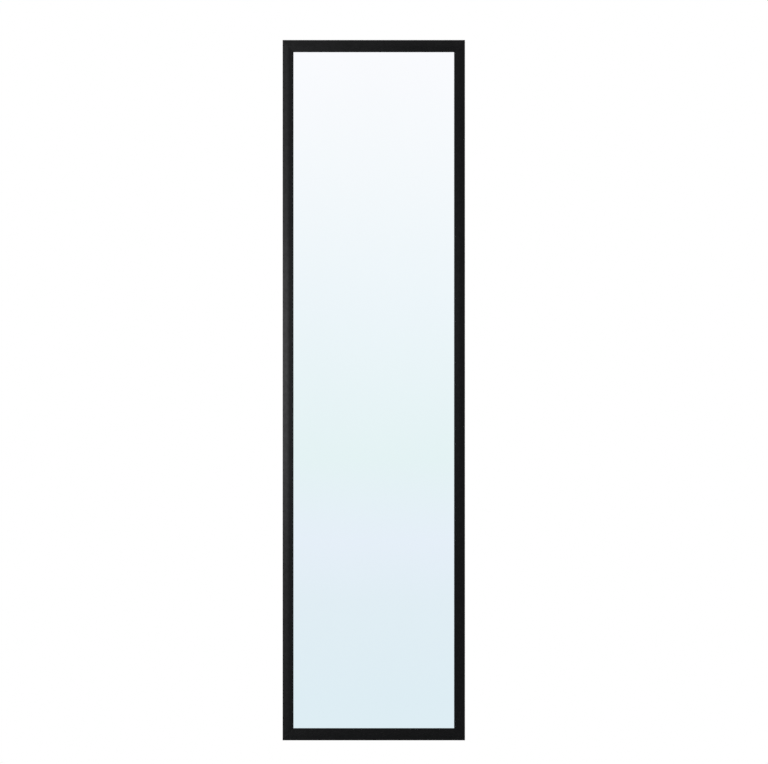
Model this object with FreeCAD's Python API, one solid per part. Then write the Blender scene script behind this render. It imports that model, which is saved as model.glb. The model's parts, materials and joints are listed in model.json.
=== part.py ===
"""Pull-out closet mirror: a framed mirror on a side-mounted telescopic slide with a vertical pivot.

Millimetres, +Z up. The origin is the middle of the mounting plate's back face, which lies on the
closet's side panel (the plane y = 0). The glass faces -Y, the mirror pulls out towards -X, and it
swings about the pivot near its left edge so that the glass turns to face -X.
"""
import FreeCAD, Part
import os
from math import atan2, cos, degrees, radians, sin, sqrt

Vector = FreeCAD.Vector
Y_AXIS, Z_AXIS = Vector(0, 1, 0), Vector(0, 0, 1)

# ---------------------------------------------------------------- driving dimensions
# Frame of the mirror
FRAME_W = 317.5            # outer width (12.5 in)
FRAME_H = 1219.2           # outer height (48 in)
FRAME_D = 19.0             # back face to the ridge along the middle of the face
STILE_FACE = 18.9          # face width of the two stiles
RAIL_FACE = 20.9           # face width of the top and bottom rails
CROWN = 1.2                # rise of the ridged face above its edges
RIDGE_W = 5.0              # width of the rounding along the middle of the face
EDGE_R = 0.9               # rounding of the outer front edge
SIGHT_BEVEL = 0.8          # bevel along the sight edge
LIP = 2.2                  # thickness of the lip in front of the glass
REBATE = 7.0               # how far the lip reaches over the glass pack
WALL = 1.6                 # wall of the hollow frame section
CHAMBER_TOP = 14.8         # height of the hollow above the back face
BACK_LIP = 4.0             # reach of the lip that the spring clips press against

# Glass pack
GASKET = 0.6
GASKET_W = 4.5
GASKET_SETBACK = 1.0
GLASS = 4.0
GLASS_CLEAR = 1.5          # gap round the glass and the backing board
TAPE = 1.0
TAPE_W = 20.0
TAPE_COUNT = 3
TAPE_END = 60.0            # from the end of a tape to the end of the glass
BACKING = 3.0
BLOCK_LEN = 30.0
CLIP_LEN = 42.0
CLIP_W = 6.0
CLIP_T = 0.6
CLIP_GAP = 0.05
CLIPS_ON_STILE = 4
CLIP_END = 130.0           # from the end clip to the end of a stile

# Corner keys and nut bars
KEY_LEG = 48.0
KEY_FIT = 0.1
KEY_SCREW_AT = 30.0        # from the frame's outer corner to each key screw
NUT_BAR_T = 4.0
NUT_BAR_OVER = 12.0        # nut bar beyond the carrier's top and bottom screws

# Screws
SCREW_R = 2.0
SCREW_HEAD_R = 3.6
SCREW_HEAD_H = 2.0
SCREW_HEAD_ROUND = 0.9     # rounding of the head's rim
SCREW_DRIVE_R = 1.2
SCREW_DRIVE_DEPTH = 1.2
SCREW_BITE = 3.0           # depth in a nut bar or a corner key

# Mounting plate and slide
PLATE_T = 2.0
PLATE_OVER = 7.0           # plate beyond each end of the slide
PLATE_H = 90.0
PLATE_FLANGE = 8.0
PLATE_BEND_R = 1.8         # outside radius of the flange bends
HOLE_PITCH_X = 224.0
HOLE_PITCH_Z = 64.0
MOUNT_HOLE_R = 2.6
SLIDE_LEN = 250.0
SLIDE_H = 45.7
SLIDE_D = 12.7
OUTER_T = 1.2
MIDDLE_T = 1.0
INNER_T = 1.2
CAGE_T = 0.4
WEB_GAP = 0.3              # between neighbouring webs of the slide
BALL_R = 2.38
RACE_GAP = 0.12            # ball to raceway
POCKET_GAP = 0.1           # ball to cage pocket
MIDDLE_SETBACK = 1.0       # intermediate member behind the others' front ends
RACE_SHIFT = 3.6           # inner race's centre in front of the outer race's
OUTER_RACE_IN = 3.5        # outer race's centre in front of the outer cage's web
BALLS_PER_ROW = 8
BALL_PITCH = 14.0
OUTER_RACE_ARC = (20, 150)  # degrees of the raceways' arcs, from straight ahead towards +Z
MIDDLE_RACE_FROM = 30
INNER_RACE_FROM = 240
CAGE_END = 7.0             # end ball to the cage's end
CAGE_HOLD = 1.4            # cage arm beyond the ball's centre
REAR_STOP_L = 8.7
REAR_STOP_W = 16.0
REAR_STOP_H = 9.2
STOP_GAP = 0.3
TAB_L = 2.5
TAB_H = 0.7
TAB_W = 12.0
RIVET_R = 2.0
RIVET_SINK_R = 3.2
RIVET_SINK = 0.9
RIVET_HEAD_H = 1.4
RIVET_HEAD_R = 3.4
RIVET_TOP_R = 2.04         # flat on top of a tapered head
SLIDE_RIVET_COUNT = 4
SLIDE_RIVET_END = 29.0     # end rivet to the slide's end
SLOT_R = 2.6               # obround slots in the webs of the slide
SLOT_LEN = 16.0
SLOT_PITCH = 48.0
MIDDLE_SLOTS = 4
INNER_SLOTS = 3

# Carriage bracket and pivot
BRACKET_T = 3.0
BRACKET_H = 56.0
BRACKET_CORNER = 8.0
BRACKET_LAP = 69.0         # how far the bracket lies on the inner member
BRACKET_RIVET_END = 16.0   # rivets to the ends of that lap
BRACKET_RIVET_Z = 6.0
PIVOT_IN = 8.75            # pivot axis inside the mirror's left edge
PIVOT_Y = -13.5
PIN_R = 4.0
PIN_FIT = 0.04             # radial running clearance of the pin in its bushes
PIN_HEAD_R = 6.8
PIN_HEAD_H = 4.0
PIN_TOP_R = 5.1            # flat on top of the pin's head
PIN_DRIVE_R = 2.5
PIN_DRIVE_DEPTH = 2.2
PIN_TIP = 1.0              # pin beyond the lock nut
BUSH_WALL = 1.0
BUSH_FLANGE = 0.8
BUSH_L = 16.0
BARREL_WALL = 1.5
BARREL_H = 60.0
FRICTION_WASHER_T = 1.0
EAR_GAP = 0.05             # friction washer to ear
WASHER_T = 1.0
DISC_SPRING_R = 6.8
DISC_SPRING_T = 0.9
DISC_SPRING_CONE = 0.5
DISC_SPRING_COUNT = 2
NUT_AF = 13.0
NUT_H = 8.0
CLEVIS_T = 2.5
CLEVIS_GAP = 0.5           # barrel to the clevis plate
EAR_R = 7.5
CLEVIS_W = 30.0
CLEVIS_H = 124.0
CLEVIS_CORNER = 4.0
CLEVIS_SCREW_Z = 53.0
CLEVIS_RIVET_IN = 6.0      # rivet centre to the clevis plate's right edge
SWIVEL_MAX = 110.0         # degrees
STOP_REST = 7.5            # nose direction at the end of the swing, degrees
NOSE_REACH = 12.5
NOSE_W = 4.0
STOP_TAB_FROM = 8.8        # pivot axis to the near edge of the bracket's stop tab
STOP_TAB_TO = 13.0
STOP_TAB_H = 8.0

# Carrier plate on the mirror's back
CARRIER_T = 2.0
CARRIER_H = 160.0
CARRIER_SIDE = 1.5         # inset from the frame's outer edges
CARRIER_FLANGE = 6.0
CARRIER_CORNER = 5.0
CARRIER_SCREW_Z = 70.0
BUMPER_R = 5.0
BUMPER_FACE_R = 4.0        # face that rests on the bracket
BUMPER_STEM_R = 2.0
BUMPER_CAP_R = 3.2
BUMPER_CAP_H = 1.2
BUMPER_GAP = 0.1           # bumper to bracket when the mirror is closed
BUMPER_IN = 32.0           # bumper to the bracket's right end
BUMPER_Z = 19.0

CUT_OVER = 1.0             # how far a cutting shape reaches past the face it cuts

# ---------------------------------------------------------------- derived places
PLATE_FRONT = -PLATE_T
SLIDE_FRONT = PLATE_FRONT - SLIDE_D
BRACKET_FRONT = SLIDE_FRONT - BRACKET_T
BUSH_R = PIN_R + PIN_FIT + BUSH_WALL
BARREL_R = BUSH_R + BARREL_WALL
CLEVIS_REAR = PIVOT_Y - BARREL_R - CLEVIS_GAP
CARRIER_REAR = CLEVIS_REAR - CLEVIS_T
FRAME_BACK = CARRIER_REAR - CARRIER_T
LEFT, RIGHT = -FRAME_W / 2, FRAME_W / 2
BOTTOM, TOP = -FRAME_H / 2, FRAME_H / 2
PIVOT_X = LEFT + PIVOT_IN

STRETCH = RAIL_FACE / STILE_FACE           # rails: the stile section drawn wider, so mitres meet
BODY_W = STILE_FACE - REBATE               # hollow body beside the rebate
SIDE_H = FRAME_D - CROWN
LIP_BACK = SIDE_H - LIP
GLASS_FRONT = LIP_BACK - GASKET            # heights above the frame's back face
GLASS_REAR = GLASS_FRONT - GLASS
BACKING_FRONT = GLASS_REAR - TAPE
BACKING_REAR = BACKING_FRONT - BACKING
GLASS_HALF_W = FRAME_W / 2 - BODY_W - GLASS_CLEAR
GLASS_HALF_H = FRAME_H / 2 - BODY_W * STRETCH - GLASS_CLEAR
STILE_MID = BODY_W / 2                     # screw line, from the outer edge

RACE_R = BALL_R + RACE_GAP
CAGE_A_WEB = OUTER_T + WEB_GAP             # webs of the slide, in front of the mounting plate
MIDDLE_WEB = CAGE_A_WEB + CAGE_T + WEB_GAP
CAGE_B_WEB = MIDDLE_WEB + MIDDLE_T + WEB_GAP
RACE_A_S = CAGE_A_WEB + CAGE_T + OUTER_RACE_IN
RACE_A_Z = SLIDE_H / 2 - OUTER_T - RACE_R
RACE_B_S = RACE_A_S + RACE_SHIFT
RACE_B_Z = RACE_A_Z - sqrt((2 * RACE_R + MIDDLE_T) ** 2 - RACE_SHIFT ** 2)
SLIDE_X0, SLIDE_X1 = -SLIDE_LEN / 2, SLIDE_LEN / 2
PLATE_W = SLIDE_LEN + 2 * PLATE_OVER
BRACKET_END = SLIDE_X0 + BRACKET_LAP
BUMPER_X = BRACKET_END - BUMPER_IN
INNER_X1 = SLIDE_X1 - REAR_STOP_L - STOP_GAP
CAGE_LEN = (BALLS_PER_ROW - 1) * BALL_PITCH + 2 * CAGE_END
CAGE_MID = (SLIDE_X0 + INNER_X1) / 2       # both cages sit midway and run at a quarter and three quarters

BARREL_TOP = BARREL_H / 2
EAR_LOW = BARREL_TOP + BUSH_FLANGE + FRICTION_WASHER_T + EAR_GAP
EAR_HIGH = EAR_LOW + CLEVIS_T


# ---------------------------------------------------------------- helpers
def block(x0, x1, y0, y1, z0, z1):
    """Box between two opposite corners, given in any order along each axis."""
    low = Vector(min(x0, x1), min(y0, y1), min(z0, z1))
    return Part.makeBox(abs(x1 - x0), abs(y1 - y0), abs(z1 - z0), low)


def plate(x0, x1, y0, y1, half_h, corner, ends=(0, 1)):
    """Upright plate, centred on z = 0, with rounded corners at its left (0) and right (1) ends."""
    body = block(x0, x1, y0, y1, -half_h, half_h)
    edges = [e for e in body.Edges if e.BoundBox.YLength > 0.5 * abs(y1 - y0)
             and int(e.BoundBox.Center.x > (x0 + x1) / 2) in ends]
    return body.makeFillet(corner, edges)


def rod(radius, base, axis, length):
    return Part.makeCylinder(radius, length, base, axis)


def tube(outer, inner, base, axis, length):
    return rod(outer, base, axis, length).cut(rod(inner, base, axis, length))


def cone(radius0, radius1, base, axis, length):
    return Part.makeCone(radius0, radius1, length, base, axis)


def hexagon(across_flats, base, height, axis=Z_AXIS):
    """Hexagonal prism with two flats facing +-Y before it is tilted to its axis."""
    corner = across_flats / sqrt(3)
    points = [Vector(corner * cos(radians(60 * i)), corner * sin(radians(60 * i)), 0) for i in range(6)]
    prism = Part.Face(Part.makePolygon(points + points[:1])).extrude(Vector(0, 0, height))
    prism.Placement = FreeCAD.Placement(base, FreeCAD.Rotation(Z_AXIS, axis))
    return prism


def joined(shapes):
    """One clean solid from overlapping or touching shapes."""
    return shapes[0].multiFuse(shapes[1:]).removeSplitter()


def save(name, shape):
    shape.exportStep("parts/" + name + ".step")


def save_group(name, shapes):
    """Several separate solids that share one file."""
    save(name, Part.makeCompound(shapes))


def pan_screw(x, seat_y, z, length):
    """Socket pan-head screw driven towards -Y, with its head on the face y = seat_y."""
    shank = rod(SCREW_R, Vector(x, seat_y, z), -Y_AXIS, length)
    head = rod(SCREW_HEAD_R, Vector(x, seat_y, z), Y_AXIS, SCREW_HEAD_H)
    rim = head.Edges[0]
    for edge in head.Edges:
        if edge.BoundBox.YMin > seat_y + SCREW_HEAD_H / 2:
            rim = edge
    head = head.makeFillet(SCREW_HEAD_ROUND, [rim])
    drive = Vector(x, seat_y + SCREW_HEAD_H - SCREW_DRIVE_DEPTH, z)
    socket = hexagon(2 * SCREW_DRIVE_R, drive, SCREW_DRIVE_DEPTH, Y_AXIS)
    return joined([shank, head]).cut(socket)


# ---------------------------------------------------------------- frame of the mirror
def frame_section(k):
    """Section of a frame bar: u runs inward from the outer edge, v from the back face forward.

    k stretches the section across its width, so that a rail meets a stile line for line."""
    def at(u, v):
        return Vector(0, -v, u * k)

    diagonal = 1 - cos(radians(45))
    outer_edge = Part.Arc(at(0, SIDE_H - EDGE_R), at(EDGE_R * diagonal, SIDE_H - EDGE_R * diagonal),
                          at(EDGE_R, SIDE_H)).toShape()
    middle = (EDGE_R + STILE_FACE - SIGHT_BEVEL) / 2
    half_face, half_ridge = middle - EDGE_R, RIDGE_W / 2
    shoulder = FRAME_D - CROWN * half_ridge / (2 * half_face - half_ridge)     # the planes run into the ridge
    ridge_from, ridge_to = at(middle - half_ridge, shoulder), at(middle + half_ridge, shoulder)
    outer_plane = Part.LineSegment(at(EDGE_R, SIDE_H), ridge_from).toShape()
    ridge = Part.Arc(ridge_from, at(middle, FRAME_D), ridge_to).toShape()
    rest = [ridge_to, at(STILE_FACE - SIGHT_BEVEL, SIDE_H), at(STILE_FACE, SIDE_H - SIGHT_BEVEL),
            at(STILE_FACE, LIP_BACK), at(BODY_W, LIP_BACK), at(BODY_W, WALL),
            at(BODY_W + BACK_LIP, WALL), at(BODY_W + BACK_LIP, 0), at(0, 0), at(0, SIDE_H - EDGE_R)]
    sides = [Part.LineSegment(a, b).toShape() for a, b in zip(rest, rest[1:])]
    outline = Part.Face(Part.Wire([outer_edge, outer_plane, ridge] + sides))
    hollow = [at(WALL, WALL), at(BODY_W - WALL, WALL), at(BODY_W - WALL, CHAMBER_TOP),
              at(WALL, CHAMBER_TOP), at(WALL, WALL)]
    return outline.cut(Part.Face(Part.makePolygon(hollow)))


def frame_bar(length, face, neighbour_face, turn, middle):
    """Mitred bar: made along X with its outer edge at z = 0, turned about Y and put at its middle."""
    section = frame_section(face / STILE_FACE)
    section.translate(Vector(-length / 2, FRAME_BACK, 0))
    bar = section.extrude(Vector(length, 0, 0))
    half = length / 2
    mitre = [Vector(-half, 0, 0), Vector(half, 0, 0), Vector(half - neighbour_face, 0, face),
             Vector(neighbour_face - half, 0, face), Vector(-half, 0, 0)]
    wedge = Part.Face(Part.makePolygon(mitre))
    wedge.translate(Vector(0, FRAME_BACK + CUT_OVER, 0))
    bar = bar.common(wedge.extrude(Vector(0, -FRAME_D - 2 * CUT_OVER, 0)))
    bar.rotate(Vector(0, 0, 0), Y_AXIS, turn)
    bar.translate(middle)
    return bar


def frame_holes():
    """Holes in the back wall for the key screws and the carrier's screws."""
    holes = list(key_screw_places()) + [(x, z) for x, z, seat in carrier_screw_places()]
    return [rod(SCREW_R, Vector(x, FRAME_BACK + CUT_OVER, z), -Y_AXIS, WALL + CUT_OVER) for x, z in holes]


def key_screw_places():
    rail_mid = STILE_MID * STRETCH
    for side in (-1, 1):
        for end in (-1, 1):
            yield side * (FRAME_W / 2 - STILE_MID), end * (FRAME_H / 2 - KEY_SCREW_AT)
            yield side * (FRAME_W / 2 - KEY_SCREW_AT), end * (FRAME_H / 2 - rail_mid)


def carrier_screw_places():
    """x, z and the face under the head: the clevis on the left, the carrier elsewhere."""
    left, right = LEFT + STILE_MID, RIGHT - STILE_MID
    for end in (-1, 1):
        yield left, end * CLEVIS_SCREW_Z, CLEVIS_REAR
        yield left, end * CARRIER_SCREW_Z, CARRIER_REAR
        yield right, end * CLEVIS_SCREW_Z / 2, CARRIER_REAR
        yield right, end * CARRIER_SCREW_Z, CARRIER_REAR


def build_frame():
    holes = frame_holes()
    bars = {
        "rail_bottom": (FRAME_W, RAIL_FACE, STILE_FACE, 0, Vector(0, 0, BOTTOM)),
        "rail_top": (FRAME_W, RAIL_FACE, STILE_FACE, 180, Vector(0, 0, TOP)),
        "stile_left": (FRAME_H, STILE_FACE, RAIL_FACE, 90, Vector(LEFT, 0, 0)),
        "stile_right": (FRAME_H, STILE_FACE, RAIL_FACE, -90, Vector(RIGHT, 0, 0)),
    }
    for name, values in bars.items():
        save(name, frame_bar(*values).cut(holes))


def build_corner_keys():
    low, high = WALL + KEY_FIT, BODY_W - WALL - KEY_FIT
    rail_low, rail_high = WALL * STRETCH + KEY_FIT, (BODY_W - WALL) * STRETCH - KEY_FIT
    back, front = FRAME_BACK - WALL - KEY_FIT, FRAME_BACK - CHAMBER_TOP + KEY_FIT
    drills = [rod(SCREW_R, Vector(x, back, z), -Y_AXIS, SCREW_BITE) for x, z in key_screw_places()]
    keys = []
    for side in (-1, 1):
        for end in (-1, 1):
            edge_x, edge_z = side * FRAME_W / 2, end * FRAME_H / 2
            upright = block(edge_x - side * low, edge_x - side * high, back, front,
                            edge_z - end * rail_low, edge_z - end * KEY_LEG)
            level = block(edge_x - side * low, edge_x - side * KEY_LEG, back, front,
                          edge_z - end * rail_low, edge_z - end * rail_high)
            keys.append(joined([upright, level]).cut(drills))
    save_group("corner_keys", keys)
    length = WALL + KEY_FIT + SCREW_BITE
    save_group("corner_key_screws", [pan_screw(x, FRAME_BACK, z, length) for x, z in key_screw_places()])


def build_nut_bars():
    back = FRAME_BACK - WALL
    half = CARRIER_SCREW_Z + NUT_BAR_OVER
    drills = [rod(SCREW_R, Vector(x, back, z), -Y_AXIS, NUT_BAR_T) for x, z, seat in carrier_screw_places()]
    for name, edge, side in (("nut_bar_left", LEFT, 1), ("nut_bar_right", RIGHT, -1)):
        bar = block(edge + side * (WALL + KEY_FIT), edge + side * (BODY_W - WALL - KEY_FIT),
                    back, back - NUT_BAR_T, -half, half)
        save(name, bar.cut(drills))


# ---------------------------------------------------------------- glass pack
def slab(half_w, half_h, front, rear):
    """Upright sheet between two heights above the frame's back face."""
    return block(-half_w, half_w, FRAME_BACK - front, FRAME_BACK - rear, -half_h, half_h)


def build_glass_pack():
    save("mirror_glass", slab(GLASS_HALF_W, GLASS_HALF_H, GLASS_FRONT, GLASS_REAR))
    save("backing_board", slab(GLASS_HALF_W, GLASS_HALF_H, BACKING_FRONT, BACKING_REAR))

    spacing = 2 * GLASS_HALF_W / TAPE_COUNT
    tapes = []
    for i in range(TAPE_COUNT):
        tape = slab(TAPE_W / 2, GLASS_HALF_H - TAPE_END, GLASS_REAR, BACKING_FRONT)
        tape.translate(Vector((i - (TAPE_COUNT - 1) / 2) * spacing, 0, 0))
        tapes.append(tape)
    save_group("foam_tapes", tapes)

    sight_x = FRAME_W / 2 - STILE_FACE + GASKET_SETBACK
    sight_z = FRAME_H / 2 - RAIL_FACE + GASKET_SETBACK
    front, rear = FRAME_BACK - LIP_BACK, FRAME_BACK - GLASS_FRONT
    strips = []
    for side in (-1, 1):
        strips.append(block(side * sight_x, side * (sight_x + GASKET_W), front, rear,
                            -sight_z - GASKET_W, sight_z + GASKET_W))
        strips.append(block(-sight_x, sight_x, front, rear,
                            side * sight_z, side * (sight_z + GASKET_W)))
    save_group("glazing_gasket", strips)

    seat = BOTTOM + BODY_W * STRETCH
    blocks = [block(x - BLOCK_LEN / 2, x + BLOCK_LEN / 2, FRAME_BACK - GLASS_FRONT,
                    FRAME_BACK - GLASS_REAR, seat, seat + GLASS_CLEAR)
              for x in (-GLASS_HALF_W / 2, GLASS_HALF_W / 2)]
    save_group("setting_blocks", blocks)


def spring_clip():
    """Bowed strip along X, its crown towards -Y, centred on the middle of its width."""
    low, high = WALL + CLIP_GAP, BACKING_REAR - CLIP_GAP
    half = CLIP_LEN / 2
    outer = Part.Arc(Vector(-half, -low - CLIP_T, 0), Vector(0, -high, 0), Vector(half, -low - CLIP_T, 0))
    inner = Part.Arc(Vector(half, -low, 0), Vector(0, -high + CLIP_T, 0), Vector(-half, -low, 0))
    ends = [Part.LineSegment(Vector(half, -low - CLIP_T, 0), Vector(half, -low, 0)),
            Part.LineSegment(Vector(-half, -low, 0), Vector(-half, -low - CLIP_T, 0))]
    face = Part.Face(Part.Wire([outer.toShape(), ends[0].toShape(), inner.toShape(), ends[1].toShape()]))
    face.translate(Vector(0, FRAME_BACK, -CLIP_W / 2))
    return face.extrude(Vector(0, 0, CLIP_W))


def build_spring_clips():
    clips = []
    reach = FRAME_H / 2 - CLIP_END
    inset = BODY_W + KEY_FIT + CLIP_W / 2
    rail_inset = BODY_W * STRETCH + KEY_FIT + CLIP_W / 2
    for side in (-1, 1):
        for i in range(CLIPS_ON_STILE):
            clip = spring_clip()
            clip.rotate(Vector(0, 0, 0), Y_AXIS, 90)
            z = reach * (2 * i / (CLIPS_ON_STILE - 1) - 1)
            clip.translate(Vector(side * (FRAME_W / 2 - inset), 0, z))
            clips.append(clip)
        clip = spring_clip()
        clip.translate(Vector(0, 0, side * (FRAME_H / 2 - rail_inset)))
        clips.append(clip)
    save_group("spring_clips", clips)


# ---------------------------------------------------------------- carrier, clevis and pivot
def build_carrier():
    half = CARRIER_H / 2
    left, right = LEFT + CARRIER_SIDE, RIGHT - CARRIER_SIDE
    sheet = plate(left, right, FRAME_BACK, CARRIER_REAR, half, CARRIER_CORNER)
    flanges = [block(left + CLEVIS_W, right - STILE_FACE, FRAME_BACK, CARRIER_REAR + CARRIER_FLANGE,
                     end * half, end * (half - CARRIER_T)) for end in (-1, 1)]
    holes = [rod(SCREW_R, Vector(x, CARRIER_REAR, z), -Y_AXIS, CARRIER_T)
             for x, z, seat in carrier_screw_places()]
    holes += [rod(RIVET_R, Vector(x, CARRIER_REAR, z), -Y_AXIS, CARRIER_T) for x, z in clevis_rivet_places()]
    holes += [rod(BUMPER_STEM_R, Vector(BUMPER_X, CARRIER_REAR, end * BUMPER_Z), -Y_AXIS, CARRIER_T)
              for end in (-1, 1)]
    save("carrier_plate", joined([sheet] + flanges).cut(holes))

    screws = []
    for x, z, seat in carrier_screw_places():
        screws.append(pan_screw(x, seat, z, seat - FRAME_BACK + WALL + SCREW_BITE))
    save_group("carrier_screws", screws)

    height = BRACKET_FRONT - CARRIER_REAR - BUMPER_GAP
    bumpers = []
    for end in (-1, 1):
        z = end * BUMPER_Z
        pad = cone(BUMPER_R, BUMPER_FACE_R, Vector(BUMPER_X, CARRIER_REAR, z), Y_AXIS, height)
        stem = rod(BUMPER_STEM_R, Vector(BUMPER_X, CARRIER_REAR, z), -Y_AXIS, CARRIER_T)
        cap = rod(BUMPER_CAP_R, Vector(BUMPER_X, FRAME_BACK, z), -Y_AXIS, BUMPER_CAP_H)
        bumpers.append(joined([pad, stem, cap]))
    save_group("rest_bumpers", bumpers)


def clevis_rivet_places():
    x = LEFT + CARRIER_SIDE + CLEVIS_W - CLEVIS_RIVET_IN
    return [(x, -CLEVIS_SCREW_Z), (x, CLEVIS_SCREW_Z)]


def ear(z0, z1):
    """Rounded ear about the pivot axis, reaching back from the clevis plate."""
    disc = rod(EAR_R, Vector(PIVOT_X, PIVOT_Y, z0), Z_AXIS, z1 - z0)
    neck = block(PIVOT_X - EAR_R, PIVOT_X + EAR_R, PIVOT_Y, CARRIER_REAR, z0, z1)
    return [disc, neck]


def swivel_nose():
    """Stop nose on the upper ear, pointing where the swing leaves it at rest."""
    nose = block(0, NOSE_REACH, -NOSE_W / 2, NOSE_W / 2, EAR_LOW, EAR_HIGH)
    nose.rotate(Vector(0, 0, 0), Z_AXIS, SWIVEL_MAX + STOP_REST)
    nose.translate(Vector(PIVOT_X, PIVOT_Y, 0))
    return nose


def build_clevis():
    left = LEFT + CARRIER_SIDE
    base = plate(left, left + CLEVIS_W, CARRIER_REAR, CLEVIS_REAR, CLEVIS_H / 2, CLEVIS_CORNER)
    body = joined([base, swivel_nose()] + ear(EAR_LOW, EAR_HIGH) + ear(-EAR_HIGH, -EAR_LOW))
    cuts = [rod(PIN_R, Vector(PIVOT_X, PIVOT_Y, -EAR_HIGH), Z_AXIS, 2 * EAR_HIGH)]
    cuts += [rod(SCREW_R, Vector(x, CLEVIS_REAR, z), -Y_AXIS, CLEVIS_T)
             for x, z, seat in carrier_screw_places() if seat == CLEVIS_REAR]
    cuts += [rod(RIVET_R, Vector(x, CLEVIS_REAR, z), -Y_AXIS, CLEVIS_T) for x, z in clevis_rivet_places()]
    save("pivot_clevis", body.cut(cuts))
    save_group("clevis_rivets", [rivet(x, z, CLEVIS_REAR, FRAME_BACK) for x, z in clevis_rivet_places()])


def rivet(x, z, rear, front):
    """Rivet with a low tapered head on both faces of a stack between y = rear and y = front."""
    shank = rod(RIVET_R, Vector(x, rear, z), -Y_AXIS, rear - front)
    heads = [cone(RIVET_HEAD_R, RIVET_TOP_R, Vector(x, rear, z), Y_AXIS, RIVET_HEAD_H),
             cone(RIVET_HEAD_R, RIVET_TOP_R, Vector(x, front, z), -Y_AXIS, RIVET_HEAD_H)]
    return joined([shank] + heads)


def build_pivot():
    axis_at = Vector(PIVOT_X, PIVOT_Y, 0)
    bore = PIN_R + PIN_FIT
    bushes = []
    washers = []
    for end in (-1, 1):
        outward = Z_AXIS * end
        mouth = axis_at + outward * BARREL_TOP
        sleeve = tube(BUSH_R, bore, mouth - outward * BUSH_L, outward, BUSH_L)
        flange = tube(BARREL_R, bore, mouth, outward, BUSH_FLANGE)
        bushes.append(joined([sleeve, flange]))
        washers.append(tube(BARREL_R, bore, mouth + outward * BUSH_FLANGE, outward, FRICTION_WASHER_T))
    save_group("pivot_bushes", bushes)
    save_group("friction_washers", washers)

    above, below = axis_at + Z_AXIS * EAR_HIGH, axis_at - Z_AXIS * EAR_HIGH
    save("pin_washer", tube(PIN_HEAD_R, PIN_R, above, Z_AXIS, WASHER_T))
    springs = []
    for i in range(DISC_SPRING_COUNT):
        springs.append(disc_spring(below - Z_AXIS * (i * (DISC_SPRING_T + DISC_SPRING_CONE)), i % 2 == 1))
    save_group("disc_springs", springs)
    nut_top = below - Z_AXIS * (DISC_SPRING_COUNT * (DISC_SPRING_T + DISC_SPRING_CONE))
    nut_base = nut_top - Z_AXIS * NUT_H
    save("lock_nut", hexagon(NUT_AF, nut_base, NUT_H).cut(rod(PIN_R, nut_base, Z_AXIS, NUT_H)))

    seat = above + Z_AXIS * WASHER_T
    tip = nut_base - Z_AXIS * PIN_TIP
    shank = rod(PIN_R, tip, Z_AXIS, seat.z - tip.z)
    head = cone(PIN_HEAD_R, PIN_TOP_R, seat, Z_AXIS, PIN_HEAD_H)
    drive = hexagon(2 * PIN_DRIVE_R, seat + Z_AXIS * (PIN_HEAD_H - PIN_DRIVE_DEPTH), PIN_DRIVE_DEPTH)
    save("pivot_pin", joined([shank, head]).cut(drive))


def disc_spring(top, flipped):
    """Conical spring washer below the point top."""
    inner, outer = PIN_R, DISC_SPRING_R
    rim, hub = (0, DISC_SPRING_CONE) if flipped else (DISC_SPRING_CONE, 0)
    points = [Vector(inner, 0, -hub), Vector(outer, 0, -rim), Vector(outer, 0, -rim - DISC_SPRING_T),
              Vector(inner, 0, -hub - DISC_SPRING_T), Vector(inner, 0, -hub)]
    ring = Part.Face(Part.makePolygon(points)).revolve(Vector(0, 0, 0), Z_AXIS, 360)
    ring.translate(top)
    return ring


# ---------------------------------------------------------------- carriage bracket
def build_bracket():
    base = Vector(PIVOT_X, PIVOT_Y, -BARREL_TOP)
    barrel = rod(BARREL_R, base, Z_AXIS, BARREL_H)
    arm = plate(PIVOT_X, BRACKET_END, SLIDE_FRONT, BRACKET_FRONT, BRACKET_H / 2, BRACKET_CORNER, ends=(1,))
    tab = block(PIVOT_X + STOP_TAB_FROM, PIVOT_X + STOP_TAB_TO, SLIDE_FRONT, BRACKET_FRONT,
                0, BRACKET_H / 2 + STOP_TAB_H)
    body = joined([barrel, arm, tab])
    cuts = [rod(BUSH_R, base, Z_AXIS, BARREL_H)]
    cuts += [rod(RIVET_R, Vector(x, SLIDE_FRONT, z), -Y_AXIS, BRACKET_T) for x, z in bracket_rivet_places()]
    save("carriage_bracket", body.cut(cuts))
    inside = SLIDE_FRONT + INNER_T
    save_group("carriage_rivets", [rivet(x, z, inside, BRACKET_FRONT) for x, z in bracket_rivet_places()])


def bracket_rivet_places():
    columns = (SLIDE_X0 + BRACKET_RIVET_END, BRACKET_END - BRACKET_RIVET_END)
    return [(x, z) for x in columns for z in (-BRACKET_RIVET_Z, BRACKET_RIVET_Z)]


# ---------------------------------------------------------------- slide
def at(s, z):
    """Point of the slide's section: s in front of the mounting plate."""
    return Vector(0, PLATE_FRONT - s, z)


def around(centre, radius, angle):
    return centre[0] + radius * cos(radians(angle)), centre[1] + radius * sin(radians(angle))


def race_arc(centre, radius, angle0, angle1):
    points = [around(centre, radius, a) for a in (angle0, (angle0 + angle1) / 2, angle1)]
    return Part.Arc(*[at(*p) for p in points]).toShape()


def channel(half_edges, thickness, x0, x1):
    """Rolled channel: the upper half of its face line, mirrored, thickened and drawn from x0 to x1."""
    half = Part.Wire(half_edges)
    face = half.makeOffset2D(thickness, fill=True, openResult=True)
    bar = face.extrude(Vector(x1 - x0, 0, 0))
    bar.translate(Vector(x0, 0, 0))
    return joined([bar, bar.mirror(Vector(0, 0, 0), Z_AXIS)])


def path(*points):
    return [Part.LineSegment(at(*a), at(*b)).toShape() for a, b in zip(points, points[1:])]


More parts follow.
